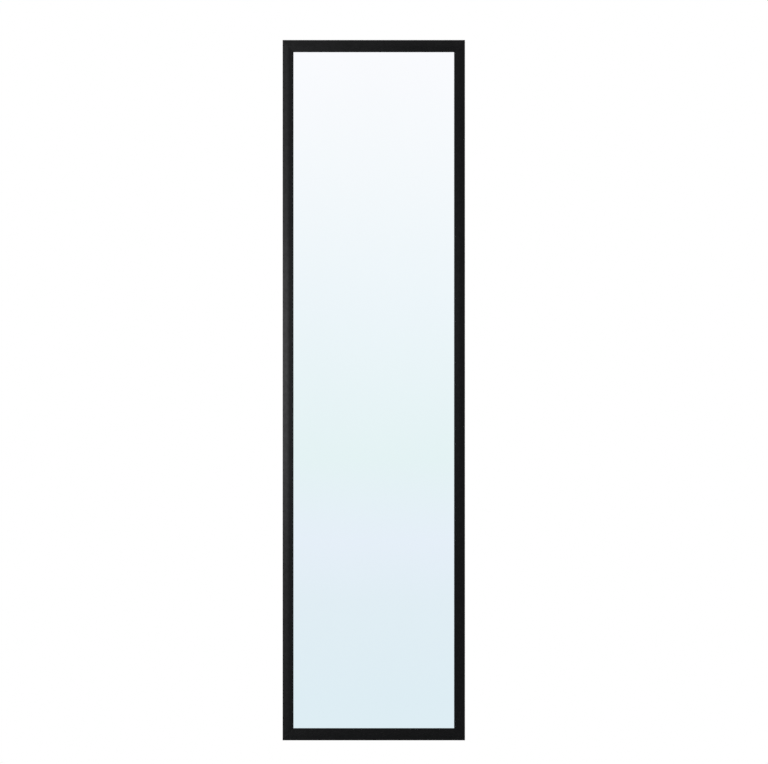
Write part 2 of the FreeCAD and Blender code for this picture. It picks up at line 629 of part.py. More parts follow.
def web_slots(middle, count, web, thickness):
    """Obround slots along a web, evenly spaced about the x of their middle."""
    slots = []
    flat = SLOT_LEN / 2 - SLOT_R
    start = Vector(0, PLATE_FRONT - web + thickness / 2, 0)
    for i in range(count):
        x = middle + (i - (count - 1) / 2) * SLOT_PITCH
        low, high = start + Vector(x - flat, 0, 0), start + Vector(x + flat, 0, 0)
        bar = block(low.x, high.x, low.y, low.y - 2 * thickness, -SLOT_R, SLOT_R)
        slots.append(joined([bar] + [rod(SLOT_R, p, -Y_AXIS, 2 * thickness) for p in (low, high)]))
    return slots


def cage(web, centre, balls):
    """U-shaped strip with a pocket round each ball."""
    x0, x1 = CAGE_MID - CAGE_LEN / 2, CAGE_MID + CAGE_LEN / 2
    arm_end = centre[0] + CAGE_HOLD
    z = centre[1]
    strip = [block(x0, x1, PLATE_FRONT - web, PLATE_FRONT - web - CAGE_T, -z, z)]
    for side in (-1, 1):
        strip.append(block(x0, x1, PLATE_FRONT - web, PLATE_FRONT - arm_end,
                           side * (z - CAGE_T / 2), side * (z + CAGE_T / 2)))
    pockets = [rod(BALL_R + POCKET_GAP, Vector(p.x, p.y, p.z - CAGE_T), Z_AXIS, 2 * CAGE_T) for p in balls]
    return joined(strip).cut(pockets)


def ball_places(centre):
    start = CAGE_MID - (BALLS_PER_ROW - 1) * BALL_PITCH / 2
    return [Vector(start + i * BALL_PITCH, PLATE_FRONT - centre[0], side * centre[1])
            for side in (-1, 1) for i in range(BALLS_PER_ROW)]


def build_slide():
    race_a, race_b = (RACE_A_S, RACE_A_Z), (RACE_B_S, RACE_B_Z)

    shoulder = around(race_a, RACE_R, OUTER_RACE_ARC[1])
    outer = [race_arc(race_a, RACE_R, *OUTER_RACE_ARC)]
    outer += path(shoulder, (OUTER_T, shoulder[1]), (OUTER_T, 0))
    member = channel(outer, -OUTER_T, SLIDE_X0, SLIDE_X1)
    tab_x = SLIDE_X0 + MIDDLE_SETBACK
    tabs = [block(tab_x, tab_x + TAB_L, PLATE_FRONT - OUTER_T, PLATE_FRONT - OUTER_T - TAB_H,
                  side * TAB_W / 2, side * (TAB_W / 2 + TAB_L)) for side in (-1, 1)]
    member = joined([member] + tabs)
    save("cabinet_member", member.cut(flush_rivets()))

    lean = 270 + degrees(atan2(RACE_SHIFT, RACE_A_Z - RACE_B_Z))   # from the outer race to the inner one
    arm_low = RACE_A_Z - RACE_R - MIDDLE_T
    web_in = MIDDLE_WEB + MIDDLE_T
    middle = [race_arc(race_b, RACE_R, MIDDLE_RACE_FROM, lean - 180),
              race_arc(race_a, RACE_R + MIDDLE_T, lean, 270)]
    middle += path((RACE_A_S, arm_low), (web_in, arm_low), (web_in, 0))
    member = channel(middle, -MIDDLE_T, SLIDE_X0 + MIDDLE_SETBACK, INNER_X1)
    save("intermediate_member", member.cut(web_slots(CAGE_MID, MIDDLE_SLOTS, MIDDLE_WEB, MIDDLE_T)))

    inner = [race_arc(race_b, RACE_R, INNER_RACE_FROM, 270)]
    inner += path((RACE_B_S, RACE_B_Z - RACE_R), (SLIDE_D, RACE_B_Z - RACE_R), (SLIDE_D, 0))
    member = channel(inner, -INNER_T, SLIDE_X0, INNER_X1)
    holes = [rod(RIVET_R, Vector(x, SLIDE_FRONT + INNER_T, z), -Y_AXIS, INNER_T)
             for x, z in bracket_rivet_places()]
    slots = web_slots((BRACKET_END + INNER_X1) / 2, INNER_SLOTS, SLIDE_D - INNER_T, INNER_T)
    save("inner_member", member.cut(holes + slots))

    for name, web, race in (("outer", CAGE_A_WEB, race_a), ("inner", CAGE_B_WEB, race_b)):
        places = ball_places(race)
        save(name + "_ball_cage", cage(web, race, places))
        save_group(name + "_balls", [Part.makeSphere(BALL_R, p) for p in places])

    web_front = PLATE_FRONT - OUTER_T
    stop = block(SLIDE_X1 - REAR_STOP_L, SLIDE_X1, web_front, web_front - REAR_STOP_H,
                 -REAR_STOP_W / 2, REAR_STOP_W / 2)
    save("rear_stop", stop)


def flush_rivets():
    """Flush rivets through the cabinet member and the mounting plate, countersunk on both faces."""
    rivets = []
    front = PLATE_FRONT - OUTER_T
    first = SLIDE_X0 + SLIDE_RIVET_END
    step = (SLIDE_LEN - 2 * SLIDE_RIVET_END) / (SLIDE_RIVET_COUNT - 1)
    for i in range(SLIDE_RIVET_COUNT):
        x = first + i * step
        shank = rod(RIVET_R, Vector(x, 0, 0), -Y_AXIS, -front)
        back_head = cone(RIVET_SINK_R, RIVET_R, Vector(x, 0, 0), -Y_AXIS, RIVET_SINK)
        front_head = cone(RIVET_SINK_R, RIVET_R, Vector(x, front, 0), Y_AXIS, RIVET_SINK)
        rivets.append(joined([shank, back_head, front_head]))
    return rivets


def build_mounting_plate():
    half_w, half_h = PLATE_W / 2, PLATE_H / 2
    sheet = block(-half_w, half_w, 0, PLATE_FRONT, -half_h, half_h)
    flanges = [block(-half_w, half_w, 0, PLATE_FRONT - PLATE_FLANGE, end * half_h, end * (half_h - PLATE_T))
               for end in (-1, 1)]
    body = joined([sheet] + flanges)
    bends = [e for e in body.Edges if e.BoundBox.XLength > half_w and e.BoundBox.YMin > -0.01
             and e.BoundBox.ZLength < 0.01]
    body = body.makeFillet(PLATE_BEND_R, bends)
    holes = [rod(MOUNT_HOLE_R, Vector(x * HOLE_PITCH_X / 2, 0, z * HOLE_PITCH_Z / 2), -Y_AXIS, PLATE_T)
             for x in (-1, 1) for z in (-1, 1)]
    save("mounting_plate", body.cut(holes + flush_rivets()))
    save_group("slide_rivets", flush_rivets())


# ---------------------------------------------------------------- build
os.makedirs("parts", exist_ok=True)
build_frame()
build_corner_keys()
build_nut_bars()
build_glass_pack()
build_spring_clips()
build_carrier()
build_clevis()
build_pivot()
build_bracket()
build_slide()
build_mounting_plate()
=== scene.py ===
# %% [markdown]
# # A pull-out closet mirror
# A tall framed mirror hangs on a telescopic slide that is screwed to the side panel of a closet. It
# pulls out of the closet and then swings on an upright pivot to face the person. The solids, their
# places and their joints are made already. This file gives every part its finish, makes the parts
# that repeat or need a softer edge again, and sets up the stage, the lamps and the camera.

# %% Load the fixed frame
import bmesh
import bpy
import json
import math
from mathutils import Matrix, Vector


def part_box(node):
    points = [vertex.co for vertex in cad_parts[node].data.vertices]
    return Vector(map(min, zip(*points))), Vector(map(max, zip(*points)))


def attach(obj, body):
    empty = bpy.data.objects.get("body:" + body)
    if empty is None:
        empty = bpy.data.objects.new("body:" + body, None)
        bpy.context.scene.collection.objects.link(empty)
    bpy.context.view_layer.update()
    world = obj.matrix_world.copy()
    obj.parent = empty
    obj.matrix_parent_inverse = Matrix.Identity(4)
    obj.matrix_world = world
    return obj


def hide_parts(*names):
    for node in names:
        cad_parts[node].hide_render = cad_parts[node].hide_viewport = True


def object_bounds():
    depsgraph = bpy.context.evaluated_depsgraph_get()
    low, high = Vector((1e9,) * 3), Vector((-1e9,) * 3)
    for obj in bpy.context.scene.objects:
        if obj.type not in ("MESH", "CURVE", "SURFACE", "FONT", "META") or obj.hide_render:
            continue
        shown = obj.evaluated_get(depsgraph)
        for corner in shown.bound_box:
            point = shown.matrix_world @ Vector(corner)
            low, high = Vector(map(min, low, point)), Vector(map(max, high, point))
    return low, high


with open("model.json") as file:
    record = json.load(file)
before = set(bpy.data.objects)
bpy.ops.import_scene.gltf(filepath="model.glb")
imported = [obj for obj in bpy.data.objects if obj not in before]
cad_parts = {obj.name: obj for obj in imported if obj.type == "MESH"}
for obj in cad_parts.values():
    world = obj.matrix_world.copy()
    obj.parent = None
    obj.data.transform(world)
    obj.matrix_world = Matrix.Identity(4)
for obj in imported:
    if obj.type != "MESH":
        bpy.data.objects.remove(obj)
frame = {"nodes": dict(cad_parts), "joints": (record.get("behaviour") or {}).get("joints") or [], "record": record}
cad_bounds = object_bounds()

# %% [markdown]
# ## Reading sizes from the solids
# A part that is made again has to lie exactly where its solid lies. So its size and place are read
# from the solids and not typed in a second time. One node can hold several separate solids, such as
# eight screws, and a short walk over its mesh finds the box of each of them.

# %% Find the separate solids of a node
JOIN_DISTANCE = 1e-6       # points nearer than this are one point


def solid_boxes(node):
    """Lowest and highest corner of each separate solid in a node, sorted by place."""
    mesh = bmesh.new()
    mesh.from_mesh(frame["nodes"][node].data)
    bmesh.ops.remove_doubles(mesh, verts=mesh.verts, dist=JOIN_DISTANCE)
    left = set(mesh.verts)
    found = []
    while left:
        to_visit, island = [left.pop()], []
        while to_visit:
            vert = to_visit.pop()
            island.append(vert.co.copy())
            near = {edge.other_vert(vert) for edge in vert.link_edges} & left
            left -= near
            to_visit += near
        low = Vector(min(p[i] for p in island) for i in range(3))
        high = Vector(max(p[i] for p in island) for i in range(3))
        found.append((low, high))
    mesh.free()
    return sorted(found, key=lambda pair: tuple(round(v, 5) for v in pair[0]))


def seats(boxes, height_of):
    """The middle of each box seen along Y, at the Y that height_of gives for it."""
    return [((low.x + high.x) / 2, height_of(low, high), (low.z + high.z) / 2) for low, high in boxes]


print("separate screws in the carrier:", len(solid_boxes("carrier_screws")))

# %% [markdown]
# ## Small helpers for materials
# Every finish below is a Principled material with a few nodes in front of it. Helpers keep those
# short: one starts a material, one adds a node with its values and links, and the others stand for
# the nodes that turn up most. Where a whole node is given as a source, its first output is meant.

# %% Start a material, add and connect nodes
def new_finish(name, **sockets):
    """A material with one Principled BSDF whose plain numbers and colours are given by socket name."""
    material = bpy.data.materials.new(name)
    material.use_nodes = True
    shader = material.node_tree.nodes["Principled BSDF"]
    for label, value in sockets.items():
        shader.inputs[label.replace("_", " ")].default_value = value
    return material, material.node_tree, shader


def connect(tree, socket, source):
    """Feed an input from a node, from an output socket or with a plain value."""
    if isinstance(source, bpy.types.Node):
        source = source.outputs[0]
    if isinstance(source, bpy.types.NodeSocket):
        tree.links.new(source, socket)
    else:
        socket.default_value = source


def add(tree, kind, links=(), **settings):
    """Add a node. settings are its properties, links are (input, source) pairs."""
    node = tree.nodes.new(kind)
    for label, value in settings.items():
        setattr(node, label, value)
    for label, source in links:
        connect(tree, node.inputs[label], source)
    return node


def maths(tree, operation, first, second, **settings):
    return add(tree, "ShaderNodeMath", [(0, first), (1, second)], operation=operation, **settings)


def spread(tree, value, low, high, start=0.0, end=1.0, **settings):
    """Stretch a value that runs from start to end to the range from low to high."""
    ends = [("From Min", start), ("From Max", end), ("To Min", low), ("To Max", high)]
    return add(tree, "ShaderNodeMapRange", [("Value", value)] + ends, **settings)


print("node helpers ready")

# %% [markdown]
# Colours come from ramps and blends. A drift between two close tones is the most common of them: no
# real surface has the same colour all over.

# %% Ramps and blends of colours
def ramp(tree, source, *stops):
    """A colour ramp with stops of (position, (r, g, b))."""
    node = add(tree, "ShaderNodeValToRGB", [("Fac", source)])
    elements = node.color_ramp.elements
    while len(elements) < len(stops):
        elements.new(0.5)
    for element, (position, colour) in zip(elements, stops):
        element.position = position
        element.color = (*colour, 1)
    return node


def two_tone(tree, source, dark, light):
    """A drift between two colours that follows a grain."""
    return ramp(tree, source, (0.3, dark), (0.7, light))


def blend_colours(tree, factor, first, second):
    """Mix two colours, each a source or (r, g, b), by a mask."""
    first, second = [(*c, 1) if isinstance(c, tuple) else c for c in (first, second)]
    mix = add(tree, "ShaderNodeMix", [(0, factor), (6, first), (7, second)], data_type="RGBA")
    return mix.outputs[2]


print("colour helpers ready")

# %% [markdown]
# ## Effects that several finishes share
# Grain, drawn streaks, worn edges and dust turn up on many parts. Each is a shader node group that
# is built once and then placed in each material with its own numbers. A group only gives out masks
# and values. The shader itself stays in the material, where an export can read it.

# %% Helpers that start and place a shader group
def shader_group(name, inputs, outputs):
    """An empty group, the sockets that give its inputs and the sockets that take its outputs."""
    group = bpy.data.node_groups.new(name, "ShaderNodeTree")
    for label, kind, value in inputs:
        socket = group.interface.new_socket(label, in_out="INPUT", socket_type="NodeSocket" + kind)
        socket.default_value = value
    for label in outputs:
        group.interface.new_socket(label, in_out="OUTPUT", socket_type="NodeSocketFloat")
    return group, group.nodes.new("NodeGroupInput").outputs, group.nodes.new("NodeGroupOutput").inputs


def use_group(tree, group, **values):
    """Place a shader group in a material and set its inputs."""
    return add(tree, "ShaderNodeGroup", list(values.items()), node_tree=group)


print("group helpers ready")

# %% [markdown]
# ### Grain
# Powder coat, moulded rubber and fibreboard all have a fine random relief. One noise gives the fine
# relief and a second, eight times coarser, gives the slow cloudiness that keeps a surface from
# looking computed. A stretch per axis draws the same grain out into fibres or rolling marks, and a
# turn about the Y axis lays them in another direction.

# %% Build the grain group
CLOUD_SCALE = 0.12         # the slow cloudiness against the fine grain
grain, given, made = shader_group("surface_grain", [
    ("Scale", "Float", 1000.0), ("Stretch", "Vector", (1, 1, 1)), ("Turn", "Float", 0.0)],
    ["Fine", "Cloud"])
place = add(grain, "ShaderNodeTexCoord")
turned_place = add(grain, "ShaderNodeVectorRotate", [
    ("Vector", place.outputs["Object"]), ("Angle", given["Turn"])], rotation_type="Y_AXIS")
stretched = add(grain, "ShaderNodeVectorMath", [
    (0, turned_place), (1, given["Stretch"])], operation="MULTIPLY")
fine = add(grain, "ShaderNodeTexNoise", [
    ("Vector", stretched), ("Scale", given["Scale"]), ("Detail", 3.0), ("Roughness", 0.6)])
coarse = maths(grain, "MULTIPLY", given["Scale"], CLOUD_SCALE)
cloud = add(grain, "ShaderNodeTexNoise", [
    ("Vector", stretched), ("Scale", coarse), ("Detail", 4.0), ("Roughness", 0.55)])
connect(grain, made["Fine"], fine)
connect(grain, made["Cloud"], cloud)
print("grain group:", len(grain.nodes), "nodes")

# %% [markdown]
# ### Worn edges
# Handling rubs a coating thin along its edges. The Bevel node gives the normal that a rounded edge
# would have, and where that differs from the true normal there is an edge. A noise breaks the line
# up, so the wear comes and goes along it.

# %% Build the edge wear group
edge_wear, given, made = shader_group("edge_wear", [
    ("Width", "Float", 0.0006), ("Amount", "Float", 1.0), ("Breakup", "Float", 120.0)], ["Mask"])
rounded = add(edge_wear, "ShaderNodeBevel", [("Radius", given["Width"])], samples=4)
true_normal = add(edge_wear, "ShaderNodeNewGeometry")
agreement = add(edge_wear, "ShaderNodeVectorMath", [
    (0, rounded), (1, true_normal.outputs["Normal"])], operation="DOT_PRODUCT")
edge_line = spread(edge_wear, agreement.outputs["Value"], 0.0, 1.0, 1.0, 0.8)
place = add(edge_wear, "ShaderNodeTexCoord")
patches = add(edge_wear, "ShaderNodeTexNoise", [
    ("Vector", place.outputs["Object"]), ("Scale", given["Breakup"]), ("Detail", 4.0)])
patch_mask = spread(edge_wear, patches, 0.0, 1.0, 0.42, 0.62)
worn = maths(edge_wear, "MULTIPLY", edge_line, patch_mask)
connect(edge_wear, made["Mask"], maths(edge_wear, "MULTIPLY", worn, given["Amount"], use_clamp=True))
print("edge wear group:", len(edge_wear.nodes), "nodes")

# %% [markdown]
# ### Dust
# Dust settles on what faces up: the top of the frame, ledges and flanges. The mask takes the upward
# share of the normal and multiplies it by a soft noise.

# %% Build the dust group
dust, given, made = shader_group("settled_dust", [("Amount", "Float", 0.3)], ["Mask"])
facing = add(dust, "ShaderNodeNewGeometry")
parts_of_normal = add(dust, "ShaderNodeSeparateXYZ", [("Vector", facing.outputs["Normal"])])
upward = spread(dust, parts_of_normal.outputs["Z"], 0.0, 1.0, 0.3, 0.95)
place = add(dust, "ShaderNodeTexCoord")
drift = add(dust, "ShaderNodeTexNoise", [
    ("Vector", place.outputs["Object"]), ("Scale", 60.0), ("Detail", 5.0)])
settled = maths(dust, "MULTIPLY", upward, drift)
connect(dust, made["Mask"], maths(dust, "MULTIPLY", settled, given["Amount"], use_clamp=True))
print("dust group:", len(dust.nodes), "nodes")

# %% [markdown]
# ### Connecting a finish
# Every finish ends the same way: colour, roughness and relief go to the shader. A relief is only a
# few hundredths of a millimetre deep, so its height is given in metres by the Distance of a Bump node.

# %% Connect colour, roughness and relief to the shader
def dress(tree, shader, colour, roughness, height=None, depth=0.0, strength=1.0):
    connect(tree, shader.inputs["Base Color"], colour)
    connect(tree, shader.inputs["Roughness"], roughness)
    if height is not None:
        bump = add(tree, "ShaderNodeBump", [
            ("Height", height), ("Distance", depth), ("Strength", strength)])
        connect(tree, shader.inputs["Normal"], bump)


finishes = {}


def keep_finish(slot, material):
    """Keep a finish under the name of the slot that it fills."""
    finishes[slot] = material
    print(slot, "is", material.name)


print("finishes made so far:", len(finishes))

# %% [markdown]
# ## Satin black powder coat
# The frame is an aluminium profile with a satin black coat. A powder coat is never quite even: it
# has a faint orange-peel relief, and its gloss drifts a little. The coat is made almost matt, so a
# low specular level goes on the shader's own socket and the soft lamp only shows on the side that
# faces it.

# %% Finish of the frame
def powder_coat():
    material, tree, shader = new_finish("satin_black_coat", Specular_IOR_Level=0.05)
    texture = use_group(tree, grain, Scale=1400.0)
    wear = use_group(tree, edge_wear, Width=0.0004, Amount=0.35, Breakup=90.0)
    film = use_group(tree, dust, Amount=0.05)
    coat = two_tone(tree, texture.outputs["Cloud"], (0.0085, 0.0085, 0.0088), (0.0115, 0.0115, 0.0119))
    rubbed = blend_colours(tree, wear, coat, (0.035, 0.035, 0.037))
    dusty = blend_colours(tree, film, rubbed, (0.22, 0.21, 0.2))
    dress(tree, shader, dusty, spread(tree, texture.outputs["Cloud"], 0.5, 0.64),
          texture.outputs["Fine"], 0.00003, 0.35)
    return material


keep_finish("frame_black", powder_coat())

# %% [markdown]
# ## Silvered glass
# A mirror is clear glass with silver behind it. Seen from the front it acts as a bright metal with
# the faint green-blue tint of the glass, so a metallic shader with almost no roughness stands for
# glass and silver together. A film of haze too thin to see head-on lifts the roughness by a few
# thousandths in soft patches, as on any mirror that has been wiped.

# %% Finish of the mirror
def silvered_glass():
    material, tree, shader = new_finish("silvered_glass", Metallic=1.0)
    haze = use_group(tree, grain, Scale=60.0, Stretch=(1.0, 1.0, 0.35))
    tint = ramp(tree, haze.outputs["Cloud"], (0.25, (0.955, 0.972, 0.968)),
                (0.75, (0.965, 0.979, 0.976)))
    dress(tree, shader, tint, spread(tree, haze.outputs["Fine"], 0.002, 0.012))
    return material


keep_finish("mirror_silver", silvered_glass())

# %% [markdown]
# ## Fibreboard
# The back of the glass pack is closed by a thin pressed fibreboard. It is brown, with short darker
# and paler fibres lying every way and a slow mottle. Four long-drawn grains, each turned another
# way, lie over one another, and the palest at each point is the fibre on top.

# %% Finish of the backing board
FIBRE_TURNS = (0.35, 1.05, 1.95, 2.75)      # radians, unevenly spaced so that no weave appears


def fibreboard():
    material, tree, shader = new_finish("pressed_fibreboard", Specular_IOR_Level=0.25)
    mottle = use_group(tree, grain, Scale=90.0)
    layers = [use_group(tree, grain, Scale=850.0, Stretch=(0.22, 1.0, 1.5), Turn=turn).outputs["Fine"]
              for turn in FIBRE_TURNS]
    fibres = layers[0]
    for layer in layers[1:]:
        fibres = maths(tree, "MAXIMUM", fibres, layer)
    brown = ramp(tree, fibres, (0.5, (0.15, 0.088, 0.046)), (0.6, (0.29, 0.183, 0.10)),
                 (0.72, (0.45, 0.31, 0.185)))
    patchy = spread(tree, mottle.outputs["Cloud"], 0.0, 0.55)
    clouded = blend_colours(tree, patchy, brown, (0.24, 0.15, 0.085))
    dress(tree, shader, clouded, spread(tree, mottle.outputs["Fine"], 0.62, 0.85), fibres, 0.00008, 0.5)
    return material


keep_finish("hardboard", fibreboard())

# %% [markdown]
# ## Black coated steel
# The mounting plate, bracket, clevis and carrier are pressed steel with a thin electro-coat. It is
# smoother and glossier than the frame's powder, follows the rolling marks of the sheet, and is
# rubbed down to grey steel along the edges that meet other parts.

# %% Finish of the pressed steel parts
def coated_steel():
    material, tree, shader = new_finish("black_coated_steel", Specular_IOR_Level=0.4)
    rolled = use_group(tree, grain, Scale=520.0, Stretch=(0.12, 1.0, 1.0))
    wear = use_group(tree, edge_wear, Width=0.0006, Amount=0.9, Breakup=160.0)
    film = use_group(tree, dust, Amount=0.12)
    coat = two_tone(tree, rolled.outputs["Cloud"], (0.011, 0.011, 0.012), (0.018, 0.018, 0.019))
    rubbed = blend_colours(tree, wear, coat, (0.16, 0.16, 0.165))
    dusty = blend_colours(tree, film, rubbed, (0.25, 0.24, 0.22))
    marks = rolled.outputs["Fine"]
    dress(tree, shader, dusty, spread(tree, marks, 0.3, 0.46), marks, 0.00004, 0.4)
    return material


keep_finish("black_steel", coated_steel())

# %% [markdown]
# ## Plated steel
# Slides, screws and rivets are zinc plated. The plating is a soft silver with a slight blue cast,
# fine streaks along the direction in which the strip was rolled, and duller patches. The same recipe
# with other colours and roughness also gives bare spring steel, ball cages, cast keys and the balls.

# %% Finishes of the plated and bare metals
ROLLED = (0.06, 1.0, 1.0)      # streaks drawn out along X
EVEN = (1, 1, 1)               # the same grain every way
METALS = (                     # slot, name, two tones, two roughnesses, stretch of the grain
    ("zinc_steel", "zinc_plate", (0.50, 0.52, 0.55), (0.68, 0.70, 0.73), 0.26, 0.46, ROLLED),
    ("spring_steel", "spring_steel", (0.36, 0.36, 0.38), (0.52, 0.52, 0.54), 0.3, 0.45, ROLLED),
    ("cage_steel", "cage_strip", (0.42, 0.42, 0.40), (0.56, 0.56, 0.54), 0.34, 0.52, ROLLED),
    ("zinc_cast", "cast_zinc", (0.30, 0.30, 0.31), (0.42, 0.42, 0.43), 0.5, 0.7, EVEN),
    ("ball_chrome", "bearing_ball", (0.62, 0.62, 0.64), (0.72, 0.72, 0.74), 0.06, 0.14, EVEN))


def plated_metal(name, dark, light, smooth, dull, stretch):
    material, tree, shader = new_finish(name, Metallic=1.0)
    streaks = use_group(tree, grain, Scale=900.0, Stretch=stretch)
    patches = use_group(tree, grain, Scale=220.0)
    wear = use_group(tree, edge_wear, Width=0.0003, Amount=0.6, Breakup=300.0)
    drawn = two_tone(tree, streaks.outputs["Fine"], dark, light)
    clouded = blend_colours(tree, spread(tree, patches.outputs["Cloud"], 0.0, 0.5), drawn,
                            tuple(0.8 * c for c in dark))
    bright = blend_colours(tree, wear, clouded, tuple(min(1.0, 1.15 * c) for c in light))
    dress(tree, shader, bright, spread(tree, patches.outputs["Cloud"], smooth, dull),
          streaks.outputs["Fine"], 0.00002, 0.3)
    return material


for slot, *recipe in METALS:
    keep_finish(slot, plated_metal(*recipe))

# %% [markdown]
# ## Sintered bronze
# The pivot's flanged bushes are pressed from bronze powder and soaked in oil. The grains show as
# fine dark pores in a dull gold.

# %% Finish of the bushes
def sintered_bronze():
    material, tree, shader = new_finish("sintered_bronze", Metallic=1.0)
    powder = use_group(tree, grain, Scale=2600.0)
    gold = ramp(tree, powder.outputs["Fine"], (0.32, (0.12, 0.07, 0.03)), (0.45, (0.46, 0.28, 0.11)),
                (0.7, (0.56, 0.36, 0.15)))
    dress(tree, shader, gold, spread(tree, powder.outputs["Cloud"], 0.34, 0.55),
          powder.outputs["Fine"], 0.00003, 0.4)
    return material


keep_finish("bronze", sintered_bronze())

# %% [markdown]
# ## Rubber, acetal and foam
# The soft and moulded parts differ in colour, gloss and grain size but are made alike: a fine grain
# for the moulded texture, a cloud for uneven gloss, and a little dust where they face up.

# %% Finishes of the moulded parts
MOULDINGS = (              # slot, name, two tones, two roughnesses, grain's scale and depth, specular
    ("black_rubber", "moulded_rubber", (0.012, 0.012, 0.012), (0.024, 0.024, 0.024),
     0.6, 0.8, 1500.0, 5e-5),
    ("white_acetal", "white_acetal", (0.72, 0.70, 0.64), (0.80, 0.78, 0.73), 0.32, 0.45, 2200.0, 1e-5),
    ("white_foam", "foam_tape", (0.70, 0.70, 0.67), (0.82, 0.82, 0.80), 0.8, 0.95, 2600.0, 1e-4, 0.1))


def moulded(name, dark, light, smooth, dull, scale, depth, specular=0.35):
    material, tree, shader = new_finish(name, Specular_IOR_Level=specular)
    texture = use_group(tree, grain, Scale=scale)
    film = use_group(tree, dust, Amount=0.15)
    body = two_tone(tree, texture.outputs["Cloud"], dark, light)
    dusty = blend_colours(tree, film, body, (0.3, 0.29, 0.27))
    dress(tree, shader, dusty, spread(tree, texture.outputs["Cloud"], smooth, dull),
          texture.outputs["Fine"], depth, 0.5)
    return material


for slot, *recipe in MOULDINGS:
    keep_finish(slot, moulded(*recipe))

# %% [markdown]
# ## Giving each solid its finish
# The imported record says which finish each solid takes. The solids that keep their own shape get
# their material here, and each part that is made again below takes it from the same list.

# %% Assign the finishes
slot_of = {part["node"]: part["material_slot"] for part in frame["record"]["subparts"]}


def finish_of(node):
    return finishes[slot_of[node]]


for node, solid in frame["nodes"].items():
    solid.data.materials.clear()
    solid.data.materials.append(finish_of(node))
print("solids with a finish:", len(slot_of))

# %% [markdown]
# ## Helpers for meshes
# Most parts are made in one of two ways. A part that follows a profile is a row of vertex loops with
# a skin over them. A part that repeats comes out of Geometry Nodes. Both end as plain objects, and a
# finished piece says which body it rides on and which solids it stands for.

# %% Make and hand over a mesh
def new_object(name, data):
    thing = bpy.data.objects.new(name, data)
    bpy.context.scene.collection.objects.link(thing)
    return thing


def keep_mesh(name, mesh):
    """Turn a finished bmesh into an object."""
    data = bpy.data.meshes.new(name)
    mesh.to_mesh(data)
    mesh.free()
    return new_object(name, data)


def skin(mesh, loops):
    """Join loops of equally many vertices side by side and close both ends, facing outwards."""
    count = len(loops[0])
    for first, second in zip(loops, loops[1:]):
        for i in range(count):
            j = (i + 1) % count
            mesh.faces.new((first[i], first[j], second[j], second[i]))
    mesh.faces.new(loops[0])
    mesh.faces.new(loops[-1])
    bmesh.ops.recalc_face_normals(mesh, faces=mesh.faces)


def stand_for(thing, body, *nodes):
    """The finished piece rides on its body and replaces its solids, which are hidden."""
    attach(thing, body)
    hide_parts(*nodes)
    print(thing.name, "->", body, "with", len(thing.data.polygons), "faces")


print("mesh helpers ready")

# %% [markdown]
# ## Helpers for Geometry Nodes
# What repeats, or follows a rule, is made by Geometry Nodes: the four bars of the frame, the screws,
# the rivets, the clips and the balls. Each tree has named inputs. `run_tree` sets them by their
# identifiers, evaluates the tree once and keeps the result as a plain mesh, so nothing live is left.

# %% Start, end and run a Geometry Nodes tree
def geometry_tree(name, inputs):
    """A tree with named inputs, and the sockets that give their values."""
    tree = bpy.data.node_groups.new(name, "GeometryNodeTree")
    tree.interface.new_socket("Geometry", in_out="OUTPUT", socket_type="NodeSocketGeometry")
    for label, kind in inputs:
        tree.interface.new_socket(label, in_out="INPUT", socket_type="NodeSocket" + kind)
    return tree, tree.nodes.new("NodeGroupInput").outputs


def turn_about_y(tree, angle):
    """The rotation about the Y axis by an angle that a socket gives."""
    euler = add(tree, "ShaderNodeCombineXYZ", [("Y", angle)])
    return add(tree, "FunctionNodeEulerToRotation", [(0, euler)])


def end_tree(tree, geometry, finish, smooth=False):
    """Make the instances real, give them their material and hand the mesh out."""
    real = add(tree, "GeometryNodeRealizeInstances", [("Geometry", geometry)])
    if smooth:
        real = add(tree, "GeometryNodeSetShadeSmooth", [("Geometry", real), ("Shade Smooth", True)])
    painted = add(tree, "GeometryNodeSetMaterial", [("Geometry", real), ("Material", finish)])
    add(tree, "NodeGroupOutput", [(0, painted)])
    print(tree.name, "has", len(tree.nodes), "nodes")


def run_tree(name, tree, **values):
    """Evaluate a tree with the given inputs and return the result as a plain mesh object."""
    host = new_object(name + "_host", bpy.data.meshes.new(name + "_host"))
    modifier = host.modifiers.new("build", "NODES")
    modifier.node_group = tree
    for item in tree.interface.items_tree:
        if item.in_out == "INPUT" and item.name in values:
            modifier[item.identifier] = values[item.name]
    evaluated = host.evaluated_get(bpy.context.evaluated_depsgraph_get())
    mesh = bpy.data.meshes.new_from_object(evaluated)
    bpy.data.objects.remove(host)
    mesh.name = name
    return new_object(name, mesh)


print("geometry helpers ready")

# %% [markdown]
# ## The section of the frame
# Each bar of the frame is one aluminium section: a face of two slanting planes that meet in a soft
# ridge, a rounded outer edge, a small bevel at the sight edge, a lip over the glass and a second lip
# at the back. Under a light from the side one plane is pale and the other dark, which is all that
# makes a black frame look solid. Only the outline is needed, because the hollow inside never shows.
# u runs inward from the outer edge, v forward from the back.

# %% Draw the section once
stile_low, stile_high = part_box("stile_left")
rail_low, rail_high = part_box("rail_bottom")
ridge_y = cad_bounds[0][1]
back_y = stile_high[1]
frame_depth = back_y - ridge_y
stile_face = stile_high[0] - stile_low[0]
rail_face = rail_high[2] - rail_low[2]
CROWN = 0.0012             # rise of the ridge above the edges of the face
RIDGE = 0.005              # width of the rounding along the ridge
EDGE_RADIUS = 0.0009       # of the outer edge
SIGHT_BEVEL = 0.0008
LIP = 0.0022               # thickness of the lip over the glass
REBATE = 0.007             # and how far it stands out from the hollow bar
WALL = 0.0016              # thickness of the lip at the back
BACK_LIP = 0.004           # and how far it stands out
FACE_STEPS = 28
EDGE_STEPS = 6


